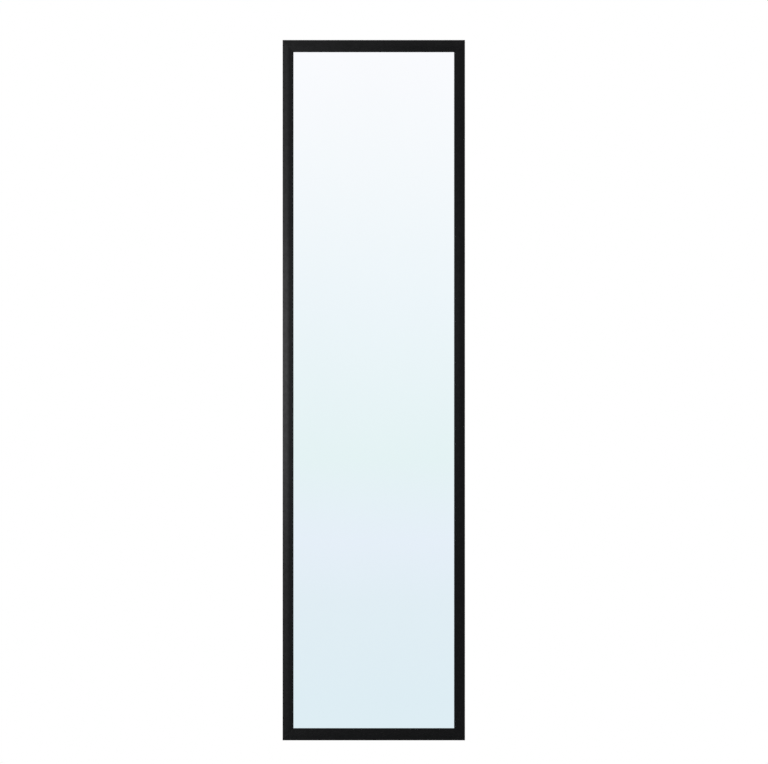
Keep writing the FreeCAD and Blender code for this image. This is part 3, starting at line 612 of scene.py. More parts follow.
def face_rise(off_middle, half_face):
    """Height of the face above its edges: two slanting planes with a rounded ridge between them."""
    half_ridge = RIDGE / 2
    drop = CROWN * half_ridge / (2 * half_face - half_ridge)
    if abs(off_middle) > half_ridge:
        return (CROWN - drop) * (half_face - abs(off_middle)) / (half_face - half_ridge)
    return CROWN - drop * (off_middle / half_ridge) ** 2


def section_outline():
    """Points (u, v) round the section of a stile."""
    side = frame_depth - CROWN
    body = stile_face - REBATE
    points = []
    for i in range(EDGE_STEPS + 1):
        turn = math.radians(90 * i / EDGE_STEPS)
        points.append((EDGE_RADIUS * (1 - math.cos(turn)), side - EDGE_RADIUS * (1 - math.sin(turn))))
    half_face = (stile_face - SIGHT_BEVEL - EDGE_RADIUS) / 2
    for i in range(1, FACE_STEPS + 1):
        off_middle = half_face * (2 * i / FACE_STEPS - 1)
        points.append((EDGE_RADIUS + half_face + off_middle, side + face_rise(off_middle, half_face)))
    points += [(stile_face, side - SIGHT_BEVEL), (stile_face, side - LIP), (body, side - LIP),
               (body, WALL), (body + BACK_LIP, WALL), (body + BACK_LIP, 0), (0, 0)]
    return points


sketch = bmesh.new()
sketch.faces.new([sketch.verts.new((0, -v, u)) for u, v in section_outline()])
section = keep_mesh("frame_section", sketch)
print("section points:", len(section.data.vertices))
print("stile", round(stile_face, 4), "m wide, rail", round(rail_face, 4), "m wide")

# %% [markdown]
# ## The rule behind a bar
# A bar is its section drawn along its length and then slid shut at both ends: a point that lies u
# further in moves back by u times the neighbour's width over its own. Four bars made by this rule
# meet in clean mitres, also where stiles and rails differ in width. The rails use the same section
# stretched across, so every line of it meets its twin.

# %% The Geometry Nodes tree for a bar
bar_tree, given = geometry_tree("mitred_bar", [
    ("Section", "Object"), ("Length", "Float"), ("Stretch", "Float"), ("Mitre", "Float"),
    ("Back", "Float"), ("Turn", "Float"), ("Middle", "Vector"), ("Finish", "Material")])
source = add(bar_tree, "GeometryNodeObjectInfo", [("Object", given["Section"])])
half = maths(bar_tree, "MULTIPLY", given["Length"], -0.5)
wide = add(bar_tree, "ShaderNodeCombineXYZ", [("X", 1.0), ("Y", 1.0), ("Z", given["Stretch"])])
start = add(bar_tree, "ShaderNodeCombineXYZ", [("X", half), ("Y", given["Back"])])
here = add(bar_tree, "GeometryNodeInputPosition")
at_start = add(bar_tree, "ShaderNodeVectorMath", [
    (0, here), (1, wide), (2, start)], operation="MULTIPLY_ADD")
cap = add(bar_tree, "GeometryNodeSetPosition", [
    ("Geometry", source.outputs["Geometry"]), ("Position", at_start)])
along = add(bar_tree, "ShaderNodeCombineXYZ", [("X", given["Length"])])
drawn = add(bar_tree, "GeometryNodeExtrudeMesh", [
    ("Mesh", cap), ("Offset", along), ("Individual", False), ("Offset Scale", 1.0)], mode="FACES")
whole = add(bar_tree, "GeometryNodeJoinGeometry", [(0, drawn), (0, cap)])
joined = add(bar_tree, "GeometryNodeMergeByDistance", [
    ("Geometry", whole), ("Distance", JOIN_DISTANCE)])
print("bar tree so far:", len(bar_tree.nodes), "nodes")

# %% [markdown]
# The mitre is one more Set Position. Then edges sharper than a set angle are marked, so the ridge
# stays soft while the lips stay crisp, and the bar is turned to its side of the frame.

# %% Mitre, shade and place the bar
SHARP_FROM = math.radians(24)
now = add(bar_tree, "GeometryNodeInputPosition")
axes = add(bar_tree, "ShaderNodeSeparateXYZ", [("Vector", now)])
share = maths(bar_tree, "MULTIPLY", axes.outputs["Z"], given["Mitre"])
slide_in = maths(bar_tree, "MULTIPLY", axes.outputs["X"], maths(bar_tree, "DIVIDE", share, half))
inward = add(bar_tree, "ShaderNodeCombineXYZ", [("X", slide_in)])
mitred = add(bar_tree, "GeometryNodeSetPosition", [("Geometry", joined), ("Offset", inward)])
soft = add(bar_tree, "GeometryNodeSetShadeSmooth", [("Geometry", mitred), ("Shade Smooth", True)])
bend = add(bar_tree, "GeometryNodeInputMeshEdgeAngle")
sharp = add(bar_tree, "FunctionNodeCompare", [
    (0, bend.outputs["Unsigned Angle"]), (1, SHARP_FROM)], data_type="FLOAT", operation="GREATER_THAN")
crisp = add(bar_tree, "GeometryNodeSetShadeSmooth", [
    ("Geometry", soft), ("Selection", sharp), ("Shade Smooth", False)], domain="EDGE")
placed = add(bar_tree, "GeometryNodeTransform", [
    ("Geometry", crisp), ("Rotation", turn_about_y(bar_tree, given["Turn"])),
    ("Translation", given["Middle"])])
end_tree(bar_tree, placed, given["Finish"])

# %% [markdown]
# Each bar stops a few hundredths of a millimetre short of its mitre. That hairline is what shows on a
# real coated frame when the corner is looked at closely, and it is far too fine to see from a step
# away. The cap that closes the bar's start was drawn with the section, so its doubles are merged and
# its faces turned outwards once more.

# %% Make the four bars
MITRE_HAIR = 0.00004
SEAM_DISTANCE = 1e-7


def make_bar(name, length, face, neighbour, turn_degrees, middle):
    bar = run_tree(name + "_bar", bar_tree, Section=section, Length=length - 2 * MITRE_HAIR,
                   Stretch=face / stile_face, Mitre=neighbour / face, Back=back_y,
                   Turn=math.radians(turn_degrees), Middle=middle, Finish=finish_of(name))
    mesh = bmesh.new()
    mesh.from_mesh(bar.data)
    bmesh.ops.remove_doubles(mesh, verts=mesh.verts, dist=SEAM_DISTANCE)
    bmesh.ops.recalc_face_normals(mesh, faces=mesh.faces)
    mesh.to_mesh(bar.data)
    mesh.free()
    stand_for(bar, "mirror", name)


frame_w = rail_high[0] - rail_low[0]
frame_h = stile_high[2] - stile_low[2]
make_bar("rail_bottom", frame_w, rail_face, stile_face, 0, (0, 0, rail_low[2]))
make_bar("rail_top", frame_w, rail_face, stile_face, 180, (0, 0, -rail_low[2]))
make_bar("stile_left", frame_h, stile_face, rail_face, 90, (stile_low[0], 0, 0))
make_bar("stile_right", frame_h, stile_face, rail_face, -90, (-stile_low[0], 0, 0))
bpy.data.objects.remove(section)

# %% [markdown]
# ## The mirror pane
# The glass is a flat sheet whose edges are ground to a narrow slant, called an arris, so that they
# don't chip or cut. A box of the solid's size with a small bevel on every edge is exactly that.

# %% Make the pane
ARRIS = 0.0005


def ground_sheet(name, low, high):
    """A box between two corners whose edges are ground to a slant."""
    mesh = bmesh.new()
    bmesh.ops.create_cube(mesh, size=1.0)
    for vert in mesh.verts:
        vert.co = Vector((low[i] + (vert.co[i] + 0.5) * (high[i] - low[i]) for i in range(3)))
    bmesh.ops.bevel(mesh, geom=mesh.edges[:], offset=ARRIS, segments=1, profile=0.5, affect="EDGES")
    bmesh.ops.recalc_face_normals(mesh, faces=mesh.faces)
    return keep_mesh(name, mesh)


pane = ground_sheet("mirror_pane", *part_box("mirror_glass"))
pane.data.materials.append(finish_of("mirror_glass"))
stand_for(pane, "mirror", "mirror_glass")

# %% [markdown]
# ## Turned shapes
# Screws, rivets, bumpers, the pin and the nut are all round about an axis, and some have a hexagon.
# One helper builds them from rings: each ring has a radius and a height, and may be drawn as a circle
# or as a hexagon. A hexagon's radius is the distance to its flats.

# %% Build a turned shape from rings
SIDES = 36
TURNED_SHARP = math.radians(32)        # edges that bend more than this stay crisp
HEX = True                             # third value of a ring that is a hexagon


def ring_point(radius, hexagonal, step):
    angle = 2 * math.pi * step / SIDES
    if hexagonal:
        off_flat = angle % (math.pi / 3) - math.pi / 6
        radius = radius / math.cos(off_flat)
    return radius * math.cos(angle), radius * math.sin(angle)


def scaled(profile, radius, height, start=0.0):
    """Rings from a profile whose radii and heights are shares of the given ones."""
    return [(radius * across, start + height * up, *hexagonal) for across, up, *hexagonal in profile]


def turned(name, rings, centre=(0, 0, 0), axis="Z"):
    """Closed mesh from rings of (radius, height) or (radius, height, HEX), from start to end."""
    mesh = bmesh.new()
    turn_to = {"Z": lambda x, y, h: (x, y, h), "Y": lambda x, y, h: (x, h, -y)}[axis]
    loops = []
    for radius, height, *hexagonal in rings:
        points = [turn_to(*ring_point(radius, hexagonal, step), height) for step in range(SIDES)]
        loops.append([mesh.verts.new(Vector(point) + Vector(centre)) for point in points])
    skin(mesh, loops)
    for edge in mesh.edges:
        edge.smooth = edge.calc_face_angle(math.pi) < TURNED_SHARP
    for face in mesh.faces:
        face.smooth = len(face.verts) == 4
    return keep_mesh(name, mesh)


print("turned shapes have", SIDES, "sides")

# %% [markdown]
# ## Placing a shape many times
# A second tree puts one shape on every point of a cloud. The points come from the solids' own boxes,
# and a number stored on each point turns the shape about the Y axis where it needs to lie crosswise.

# %% The Geometry Nodes tree for repeats
repeat_tree, given = geometry_tree("repeat_on_seats", [
    ("Seats", "Object"), ("Shape", "Object"), ("Finish", "Material")])
cloud = add(repeat_tree, "GeometryNodeObjectInfo", [("Object", given["Seats"])])
shape = add(repeat_tree, "GeometryNodeObjectInfo", [("Object", given["Shape"])])
quarter = add(repeat_tree, "GeometryNodeInputNamedAttribute", [("Name", "turn")], data_type="FLOAT")
copies = add(repeat_tree, "GeometryNodeInstanceOnPoints", [
    ("Points", cloud.outputs["Geometry"]), ("Instance", shape.outputs["Geometry"]),
    ("Rotation", turn_about_y(repeat_tree, quarter.outputs["Attribute"]))])
end_tree(repeat_tree, copies, given["Finish"])


def repeat(name, node, body, shape, places, turns=None):
    """Stand the shape at every place, turned about Y by the given angles, for a node's solids."""
    points = bpy.data.meshes.new(name + "_seats")
    points.from_pydata([tuple(p) for p in places], [], [])
    angles = points.attributes.new("turn", "FLOAT", "POINT")
    for i in range(len(places)):
        angles.data[i].value = turns[i] if turns else 0.0
    seated = new_object(name + "_seats", points)
    pieces = run_tree(name, repeat_tree, Seats=seated, Shape=shape, Finish=finish_of(node))
    for helper in (seated, shape):
        bpy.data.objects.remove(helper)
    stand_for(pieces, body, node)

# %% [markdown]
# ## Socket screws
# Sixteen small socket-head screws hold the corner keys and the carrier. All lie with their heads
# towards the closet panel. A low head with a rounded rim, a hexagon socket with a small chamfer and
# a plain shank down to the nut bar is all that can be seen of one.

# %% Model one screw and repeat it
HEAD_HEIGHT = 0.55         # this and the next two are shares of the head's radius
SHANK_RADIUS = 0.55
SOCKET_RADIUS = 0.34
SHANK_POINT = 0.0005       # bevel at the shank's end
HEAD_PROFILE = [(0.97, 0.0), (1.0, 0.12), (1.0, 0.5), (0.95, 0.78), (0.82, 0.95), (0.68, 1.0)]
SOCKET_PROFILE = [(1.32, 1.0), (1.2, 0.96), (1.0, 0.88, HEX), (1.0, 0.3, HEX), (0.2, 0.12)]


def socket_screw(name, low, high):
    head_r = (high.x - low.x) / 2
    head_h = HEAD_HEIGHT * head_r
    shank_r = SHANK_RADIUS * head_r
    end = head_h - (high.y - low.y)
    rings = [(shank_r * 0.7, end), (shank_r, end + SHANK_POINT), (shank_r, 0.0)]
    rings += scaled(HEAD_PROFILE, head_r, head_h)
    rings += scaled(SOCKET_PROFILE, SOCKET_RADIUS * head_r, head_h)
    return turned(name, rings, axis="Y"), head_h


for node in ("carrier_screws", "corner_key_screws"):
    boxes = solid_boxes(node)
    longest = max(boxes, key=lambda pair: pair[1].y - pair[0].y)
    screw, head_h = socket_screw(node + "_shape", *longest)
    under_heads = seats(boxes, lambda low, high: high.y - head_h)
    repeat("socket_" + node, node, "mirror", screw, under_heads)

# %% [markdown]
# ## Rivets
# Three groups of rivets hold the slide together. Those of the carriage and the clevis have low domed
# heads on both faces. Those between the cabinet member and the mounting plate are flush, because the
# ball cage passes over one end and the closet's panel closes the other.

# %% Model the rivets and repeat them
RIVET_SHANK = 0.002
DOME_HEIGHT = 0.0014
DOME_STEPS = 6
DOME_TO = 80               # degrees up the dome, where a small flat ends it
SINK_DEPTH = 0.0009        # of a flush head
RIM_BEVEL = 0.00004
DIMPLE = 0.00025           # depth of the punch mark in a flush head


def both_ends(half_profile):
    """Rings of a turned shape whose two ends are alike, from the (radius, height) of one end."""
    return [(radius, -height) for radius, height in reversed(half_profile)] + half_profile


def dome_rivet(name, low, high):
    half = (high.y - low.y) / 2
    head_r = (high.x - low.x) / 2
    profile = [(RIVET_SHANK, half - DOME_HEIGHT)]
    for i in range(DOME_STEPS):
        turn = math.radians(DOME_TO * i / (DOME_STEPS - 1))
        profile.append((head_r * math.cos(turn), half - DOME_HEIGHT * (1 - math.sin(turn))))
    return turned(name, both_ends(profile), axis="Y")


def flush_rivet(name, low, high):
    half = (high.y - low.y) / 2
    head_r = (high.x - low.x) / 2
    profile = [(RIVET_SHANK, half - SINK_DEPTH), (head_r * 0.98, half - RIM_BEVEL),
               (head_r * 0.93, half), (head_r * 0.4, half), (head_r * 0.3, half - DIMPLE)]
    return turned(name, both_ends(profile), axis="Y")


RIVETS = (("carriage_rivets", "carriage", dome_rivet), ("clevis_rivets", "mirror", dome_rivet),
          ("slide_rivets", "mount", flush_rivet))
for node, body, model in RIVETS:
    boxes = solid_boxes(node)
    middles = [(low + high) / 2 for low, high in boxes]
    repeat("headed_" + node, node, body, model(node + "_shape", *boxes[0]), middles)

# %% [markdown]
# ## Bearing balls
# Sixteen balls run in each cage, eight above and eight below. Rows like these are a rule with a
# count and a pitch, so a small tree of its own draws both rows and puts a sphere on every point.

# %% Rows of balls
def row_tree(name, *more_inputs, segments, rings):
    """A tree with a straight row of points and the sphere that is to sit on them."""
    tree, given = geometry_tree(name, [
        ("Count", "Int"), ("First", "Vector"), ("Step", "Vector"), ("Radius", "Float"),
        ("Finish", "Material"), *more_inputs])
    row = add(tree, "GeometryNodeMeshLine", [
        ("Count", given["Count"]), ("Start Location", given["First"]), ("Offset", given["Step"])],
        mode="OFFSET")
    sphere = add(tree, "GeometryNodeMeshUVSphere", [
        ("Segments", segments), ("Rings", rings), ("Radius", given["Radius"])])
    return tree, given, row, sphere


ball_tree, given, lower, sphere = row_tree("ball_rows", ("Across", "Vector"), segments=24, rings=12)
upper = add(ball_tree, "GeometryNodeTransform", [("Geometry", lower), ("Translation", given["Across"])])
both = add(ball_tree, "GeometryNodeJoinGeometry", [(0, lower), (0, upper)])
copies = add(ball_tree, "GeometryNodeInstanceOnPoints", [("Points", both), ("Instance", sphere)])
end_tree(ball_tree, copies, given["Finish"], smooth=True)

for node, body in (("outer_balls", "outer_cage"), ("inner_balls", "inner_cage")):
    boxes = solid_boxes(node)
    centres = [(low + high) / 2 for low, high in boxes]
    lower_row = sorted((c for c in centres if c.z < 0), key=lambda c: c.x)
    balls = run_tree("bearing_" + node, ball_tree, Count=len(lower_row), First=lower_row[0],
                     Step=lower_row[1] - lower_row[0], Across=(0, 0, -2 * lower_row[0].z),
                     Radius=(boxes[0][1].x - boxes[0][0].x) / 2, Finish=finish_of(node))
    stand_for(balls, body, node)

# %% [markdown]
# ## Spring clips
# Bowed strips of spring steel sit between the back lip and the board and press the glass pack
# forward. Each is a strip whose height follows a cosine, so its feet lie flat on the lip. Clips on
# the rails lie level, and those on the stiles are turned upright.

# %% Model one clip and repeat it
CLIP_STEPS = 20
CLIP_SHEET = 0.0006        # thickness of the spring steel
CLIP_TAPER = 0.25          # share of the width that is lost towards the feet
CLIP_SHARP = math.radians(30)


def spring_clip(name, length, width, rise):
    mesh = bmesh.new()
    rows = []
    for i in range(CLIP_STEPS + 1):
        x = length * (i / CLIP_STEPS - 0.5)
        bow = (rise - CLIP_SHEET) * (0.5 + 0.5 * math.cos(2 * math.pi * x / length))
        side = width / 2 * (1 - CLIP_TAPER * abs(2 * x / length) ** 3)
        rows.append([mesh.verts.new((x, -bow - lift, z)) for lift, z in
                     ((0, -side), (0, side), (CLIP_SHEET, side), (CLIP_SHEET, -side))])
    skin(mesh, rows)
    thing = keep_mesh(name, mesh)
    thing.data.shade_smooth()
    thing.data.set_sharp_from_angle(angle=CLIP_SHARP)
    return thing


boxes = solid_boxes("spring_clips")
uprights = [high.z - low.z > high.x - low.x for low, high in boxes]
level_low, level_high = boxes[uprights.index(False)]
clip = spring_clip("clip_shape", level_high.x - level_low.x, level_high.z - level_low.z,
                   level_high.y - level_low.y)
repeat("bowed_spring_clips", "spring_clips", "mirror", clip, seats(boxes, lambda low, high: high.y),
       [math.pi / 2 if upright else 0.0 for upright in uprights])

# %% [markdown]
# ## Pivot pin and lock nut
# The mirror turns on one long pin. Its head has a hexagon socket, its end a thread, and a lock nut
# with a nylon ring sets the friction through two disc springs. The thread is cut as close rings,
# because its slope would be too small to see.

# %% Model the pin and the nut
pin_low, pin_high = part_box("pivot_pin")
nut_low, nut_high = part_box("lock_nut")
pivot_at = next(joint["pos_m"] for joint in frame["joints"] if joint["name"] == "swivel")
PIN_RADIUS = 0.004
PIN_HEAD = 0.004           # height of the head
PIN_PROFILE = [(0.96, 0.0), (1.0, 0.1), (0.97, 0.45), (0.88, 0.8), (0.72, 1.0)]
PIN_SOCKET = 0.0025        # half the width of the hexagon socket across its flats
PIN_SOCKET_PROFILE = [(1.17, 1.0), (1.0, 0.9, HEX), (1.0, 0.45, HEX), (0.16, 0.3)]
THREAD_PITCH = 0.00125
THREAD_DEPTH = 0.0005
THREAD_PAST = 0.0005       # how far the rings of the thread run on into the nut
THREAD_FIT = 0.0001
NUT_COLLAR = 0.0022        # height of the collar that holds the nylon ring
NUT_CHAMFER = 0.0009


def pivot_pin():
    head_r = (pin_high[0] - pin_low[0]) / 2
    seat = pin_high[2] - PIN_HEAD
    rings = [(PIN_RADIUS - THREAD_DEPTH * 1.5, pin_low[2])]
    height = pin_low[2] + THREAD_PITCH / 2
    while height < nut_low[2] + THREAD_PAST:
        rings += [(PIN_RADIUS, height), (PIN_RADIUS - THREAD_DEPTH, height + THREAD_PITCH / 2)]
        height += THREAD_PITCH
    rings += [(PIN_RADIUS, height), (PIN_RADIUS, seat)]
    rings += scaled(PIN_PROFILE, head_r, PIN_HEAD, seat)
    rings += scaled(PIN_SOCKET_PROFILE, PIN_SOCKET, PIN_HEAD, seat)
    return turned("threaded_pivot_pin", rings, (pivot_at[0], pivot_at[1], 0))


def lock_nut():
    flats = (nut_high[1] - nut_low[1]) / 2
    top, bottom = nut_high[2], nut_low[2]
    collar = bottom + NUT_COLLAR
    rings = [(PIN_RADIUS + THREAD_FIT, bottom + 0.0003), (flats * 0.72, bottom),
             (flats * 0.86, bottom + 0.0004), (flats * 0.9, collar), (flats * 0.97, collar + 0.0003),
             (flats, collar + NUT_CHAMFER, HEX), (flats, top - NUT_CHAMFER, HEX), (flats * 0.97, top),
             (PIN_RADIUS + THREAD_FIT, top)]
    return turned("nylon_ring_lock_nut", rings, (pivot_at[0], pivot_at[1], 0))


for piece, node in ((pivot_pin(), "pivot_pin"), (lock_nut(), "lock_nut")):
    piece.data.materials.append(finish_of(node))
    stand_for(piece, "mirror", node)

# %% [markdown]
# ## Rubber rest bumpers
# When the mirror is closed, two rubber bumpers on its back rest against the bracket. A bumper has a
# domed pad, a neck that passes through the carrier plate and a mushroom that keeps it there.

# %% Model the bumpers and repeat them
MUSHROOM_RADIUS = 0.0032
MUSHROOM_HEIGHT = 0.0012
NECK_RADIUS = 0.002
PLATE_THICKNESS = 0.002


def bumper(name, low, high):
    pad_r = (high.x - low.x) / 2
    top = high.y - low.y
    seat = MUSHROOM_HEIGHT + PLATE_THICKNESS
    rings = [(MUSHROOM_RADIUS * 0.56, 0.0), (MUSHROOM_RADIUS * 0.94, 0.0002), (MUSHROOM_RADIUS, 0.0007),
             (MUSHROOM_RADIUS * 0.94, MUSHROOM_HEIGHT), (NECK_RADIUS, MUSHROOM_HEIGHT),
             (NECK_RADIUS, seat), (pad_r * 0.96, seat), (pad_r, seat + 0.0004),
             (pad_r * 0.97, seat + 0.0018), (pad_r * 0.9, top - 0.0012), (pad_r * 0.8, top - 0.0004),
             (pad_r * 0.62, top), (pad_r * 0.3, top)]
    return turned(name, rings, axis="Y")


boxes = solid_boxes("rest_bumpers")
repeat("domed_rest_bumpers", "rest_bumpers", "mirror", bumper("bumper_shape", *boxes[0]),
       seats(boxes, lambda low, high: low.y))

# %% [markdown]
# ## The weld on the barrel
# The bracket's barrel is welded to its arm along the corner where the two meet. A bead is a row of
# overlapping drops, each a little different, so one more tree sets squashed spheres along a line with
# a fixed seed.

# %% Lay the weld bead
BEAD_RADIUS = 0.0012
BEAD_STEP = 0.0011
BEAD_END = 0.002           # the bead stops short of the arm's edges
ARM_HALF = 0.028           # half the height of the bracket's arm
DROP_MIN, DROP_MAX = (0.82, 0.82, 0.75), (1.0, 1.0, 0.95)      # how the drops differ in size
DROP_SEED = 4

bead_tree, given, line, drop = row_tree("weld_bead", segments=14, rings=8)
wander = add(bead_tree, "FunctionNodeRandomValue", [
    ("Min", DROP_MIN), ("Max", DROP_MAX), ("Seed", DROP_SEED)], data_type="FLOAT_VECTOR")
copies = add(bead_tree, "GeometryNodeInstanceOnPoints", [
    ("Points", line), ("Instance", drop), ("Scale", wander)])
end_tree(bead_tree, copies, given["Finish"], smooth=True)

barrel_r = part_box("carriage_bracket")[1][1] - pivot_at[1]
arm_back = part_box("inner_member")[0][1]
bead_x = pivot_at[0] + math.sqrt(barrel_r ** 2 - (pivot_at[1] - arm_back) ** 2)
bead_count = int(2 * (ARM_HALF - BEAD_END) / BEAD_STEP)
bead_start = (bead_x, arm_back, BEAD_END - ARM_HALF)
weld = run_tree("barrel_weld", bead_tree, Count=bead_count, First=bead_start,
                Step=(0, 0, BEAD_STEP), Radius=BEAD_RADIUS, Finish=finishes["black_steel"])
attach(weld, "carriage")
print("weld drops:", bead_count)

# %% [markdown]
# ## Stage
# The floor is plain and pale and lies well below the mirror, as the closet's floor would. Seen by
# the camera it is mostly white of its own colour, with enough plain shading left in it to carry the
# mirror's soft shadow. Reflections pass it by, so that the glass mirrors the room light and not the
# edge of the floor.

# %% Lay the floor
WHITE = (1, 1, 1, 1)
FLOOR_DROP = 0.3
FLOOR_RADIUS = 6.0
FLOOR_SIDES = 96
SHADOW_RADIUS, WHITE_RADIUS = 0.9, 2.1      # the floor's own shading fades out between these
SHADED_SHARE = 0.4


def seen_directly(tree):
    """1 for rays from the camera, also through clear parts, and 0 for all others."""
    ray = add(tree, "ShaderNodeLightPath")
    return maths(tree, "MAXIMUM", ray.outputs["Is Camera Ray"], ray.outputs["Is Transmission Ray"])


def floor_material():
    material, tree, shader = new_finish("pale_floor", Roughness=0.9, Specular_IOR_Level=0.1)
    texture = use_group(tree, grain, Scale=40.0)
    connect(tree, shader.inputs["Base Color"],
            two_tone(tree, texture.outputs["Fine"], (0.84, 0.84, 0.84), (0.87, 0.87, 0.87)))
    white = add(tree, "ShaderNodeEmission", [("Color", WHITE), ("Strength", 1.0)])
    place = add(tree, "ShaderNodeTexCoord")
    distance = add(tree, "ShaderNodeVectorMath", [(0, place.outputs["Object"])], operation="LENGTH")
    fade = spread(tree, distance.outputs["Value"], 1 - SHADED_SHARE, 1.0, SHADOW_RADIUS, WHITE_RADIUS,
                  interpolation_type="SMOOTHSTEP")
    share = maths(tree, "MULTIPLY", seen_directly(tree), fade)
    mixed = add(tree, "ShaderNodeMixShader", [(0, share), (1, shader), (2, white)])
    connect(tree, tree.nodes["Material Output"].inputs["Surface"], mixed)
    return material


floor_z = stile_low[2] - FLOOR_DROP
disc = bmesh.new()
bmesh.ops.create_circle(disc, cap_ends=True, radius=FLOOR_RADIUS, segments=FLOOR_SIDES)
floor = keep_mesh("floor", disc)
floor.location = (0, 0, floor_z)
floor.data.materials.append(floor_material())
floor.visible_glossy = False
print("floor at z =", round(floor_z, 3))

# %% [markdown]
# ## The room that the glass mirrors
# A mirror looks like whatever stands in front of it. Here that is a bright, empty room: white above,
# paling through a breath of mint at eye level to a light blue below. The world shows this only to
# reflected rays. The camera sees plain white, and the soft light on the object is a plain grey-white.

# %% Build the world
AMBIENT = 0.3
EYE_BAND = 0.11            # the fall from white to blue, as the sine of the angle to the horizon
DEEP_BAND = 0.8            # from there on it darkens slowly
DEEP_COLOUR = (0.42, 0.53, 0.62)
WINDOW_HEART = -0.975      # straight ahead of the glass the room is at its brightest
WINDOW_EDGE = -0.6
WALL_LEVEL = 0.88          # and the walls beside it and behind are this much darker


def room_colour(tree):
    place = add(tree, "ShaderNodeTexCoord")
    axes = add(tree, "ShaderNodeSeparateXYZ", [("Vector", place.outputs["Generated"])])
    near = spread(tree, axes.outputs["Z"], 0.0, 1.0, -EYE_BAND, EYE_BAND)
    band = ramp(tree, near, (0.08, (0.76, 0.87, 0.93)), (0.21, (0.785, 0.875, 0.935)),
                (0.29, (0.82, 0.885, 0.965)), (0.40, (0.81, 0.915, 0.93)), (0.60, (0.88, 0.94, 0.98)),
                (0.78, (0.945, 0.97, 1.0)), (0.93, (0.995, 0.99, 1.02)))
    deep = spread(tree, axes.outputs["Z"], 0.0, 1.0, -EYE_BAND, -DEEP_BAND)
    lowered = blend_colours(tree, deep, band, DEEP_COLOUR)
    ahead = spread(tree, axes.outputs["Y"], WALL_LEVEL, 1.0, WINDOW_EDGE, WINDOW_HEART,
                   interpolation_type="SMOOTHSTEP")
    return add(tree, "ShaderNodeVectorMath", [("Vector", lowered), ("Scale", ahead)], operation="SCALE")


world = bpy.data.worlds.new("bright_room")
bpy.context.scene.world = world
world.use_nodes = True
tree = world.node_tree
tree.nodes.clear()
soft_light = add(tree, "ShaderNodeBackground", [("Color", WHITE), ("Strength", AMBIENT)])
room = add(tree, "ShaderNodeBackground", [("Color", room_colour(tree)), ("Strength", 1.0)])
backdrop = add(tree, "ShaderNodeBackground", [("Color", WHITE), ("Strength", 1.0)])
glossy = add(tree, "ShaderNodeLightPath").outputs["Is Glossy Ray"]
reflected = add(tree, "ShaderNodeMixShader", [(0, glossy), (1, soft_light), (2, room)])
seen = add(tree, "ShaderNodeMixShader", [(0, seen_directly(tree)), (1, reflected), (2, backdrop)])
add(tree, "ShaderNodeOutputWorld", [("Surface", seen)])
print("world ready, ambient level", AMBIENT)

# %% [markdown]
# ## Lamps
# A strip light stands far to the left and grazes the frame, so that it lights the planes that slant
# towards it and leaves the others dark. Its beam is tall and thin and is aimed left of the mirror:
# the left stile lies in its bright part and the right one at its edge. Two spots in one place draw it,
# a short bright heart and a tall faint rim, so it fades softly towards the top and the bottom. They
# stand low and look up a little, so the beam leaves no patch on the floor. Large weak lamps above and
# behind give the soft shadow on the floor and light the back. None is seen in the glass, which would
# show them as hard white shapes.

# %% Set up the lamps
SOFTBOXES = (              # name, size in metres, power in watts, place
    ("overhead_softbox", 2.4, 60.0, (0.3, -0.35, 2.5)),
    ("rear_softbox", 2.6, 70.0, (0.9, 2.8, 1.1)))
STRIPS = (                 # name, height of the beam over its width, power, height it is aimed at
    ("strip_heart", 1.85, 2200.0, -0.045),
    ("strip_rim", 5.0, 2600.0, 0.015))
STRIP_PLACE = (-2.6, -0.7, -0.4)
STRIP_AIM_X = -0.62        # well to the left of the mirror
STRIP_BEAM = math.radians(10)
STRIP_SOFTNESS = 0.06      # radius of the light source


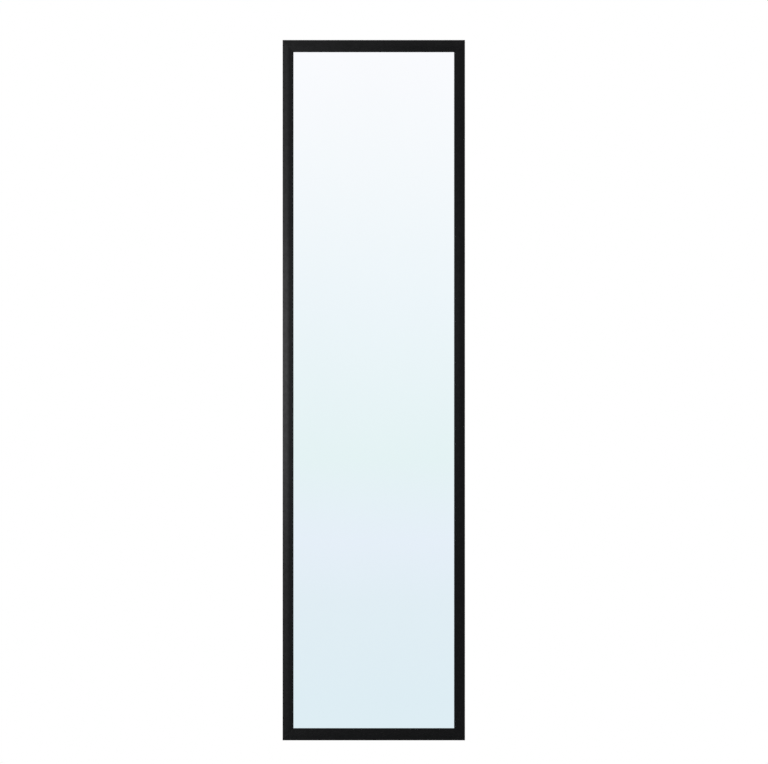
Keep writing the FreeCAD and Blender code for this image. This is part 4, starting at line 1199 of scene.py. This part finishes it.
def aim_lamp(name, light, place, aim, stretch=1.0):
    lamp = new_object(name, light)
    lamp.location = place
    lamp.rotation_euler = (Vector(aim) - Vector(place)).to_track_quat("-Z", "Y").to_euler()
    lamp.scale = (1.0, stretch, 1.0)
    lamp.visible_glossy = False


for name, size, power, place in SOFTBOXES:
    softbox = bpy.data.lights.new(name, "AREA")
    softbox.shape = "SQUARE"
    softbox.size = size
    softbox.energy = power
    aim_lamp(name, softbox, place, (0, 0, 0))

for name, stretch, power, aim_z in STRIPS:
    strip = bpy.data.lights.new(name, "SPOT")
    strip.spot_size = STRIP_BEAM
    strip.spot_blend = 1.0
    strip.shadow_soft_size = STRIP_SOFTNESS
    strip.energy = power
    aim_lamp(name, strip, STRIP_PLACE, (STRIP_AIM_X, stile_low[1], aim_z), stretch)

# %% [markdown]
# ## Camera
# The mirror is shown square on, without visible perspective. So the camera stands several metres
# away with a long lens, looks straight along the Y axis, and is moved a little to the right and up,
# because the mirror is to stand slightly left of and below the middle of the image.

# %% Place the camera
PICTURE_W, PICTURE_H = 768, 764
OUTLINE_TOP, OUTLINE_BOTTOM = 39.95, 740.4       # pixel rows of the frame's outer edges
OUTLINE_LEFT, OUTLINE_RIGHT = 282.4, 465.18      # pixel columns
CAMERA_DISTANCE = 6.0
SENSOR = 36.0

metres_per_pixel = frame_h / (OUTLINE_BOTTOM - OUTLINE_TOP)
shift_right = (PICTURE_W / 2 - (OUTLINE_LEFT + OUTLINE_RIGHT) / 2) * metres_per_pixel
shift_up = ((OUTLINE_TOP + OUTLINE_BOTTOM) / 2 - PICTURE_H / 2) * metres_per_pixel
edge_y = ridge_y + CROWN
camera_data = bpy.data.cameras.new("front_camera")
camera_data.sensor_width = SENSOR
camera_data.lens = SENSOR * CAMERA_DISTANCE / (PICTURE_W * metres_per_pixel)
camera = new_object("front_camera", camera_data)
camera.location = (shift_right, edge_y - CAMERA_DISTANCE, shift_up)
camera.rotation_euler = (math.radians(90), 0, 0)
bpy.context.scene.camera = camera
bpy.context.scene.view_settings.view_transform = "Standard"
print("lens", round(camera_data.lens, 1), "mm,", round(metres_per_pixel * 1000, 3), "mm per pixel")
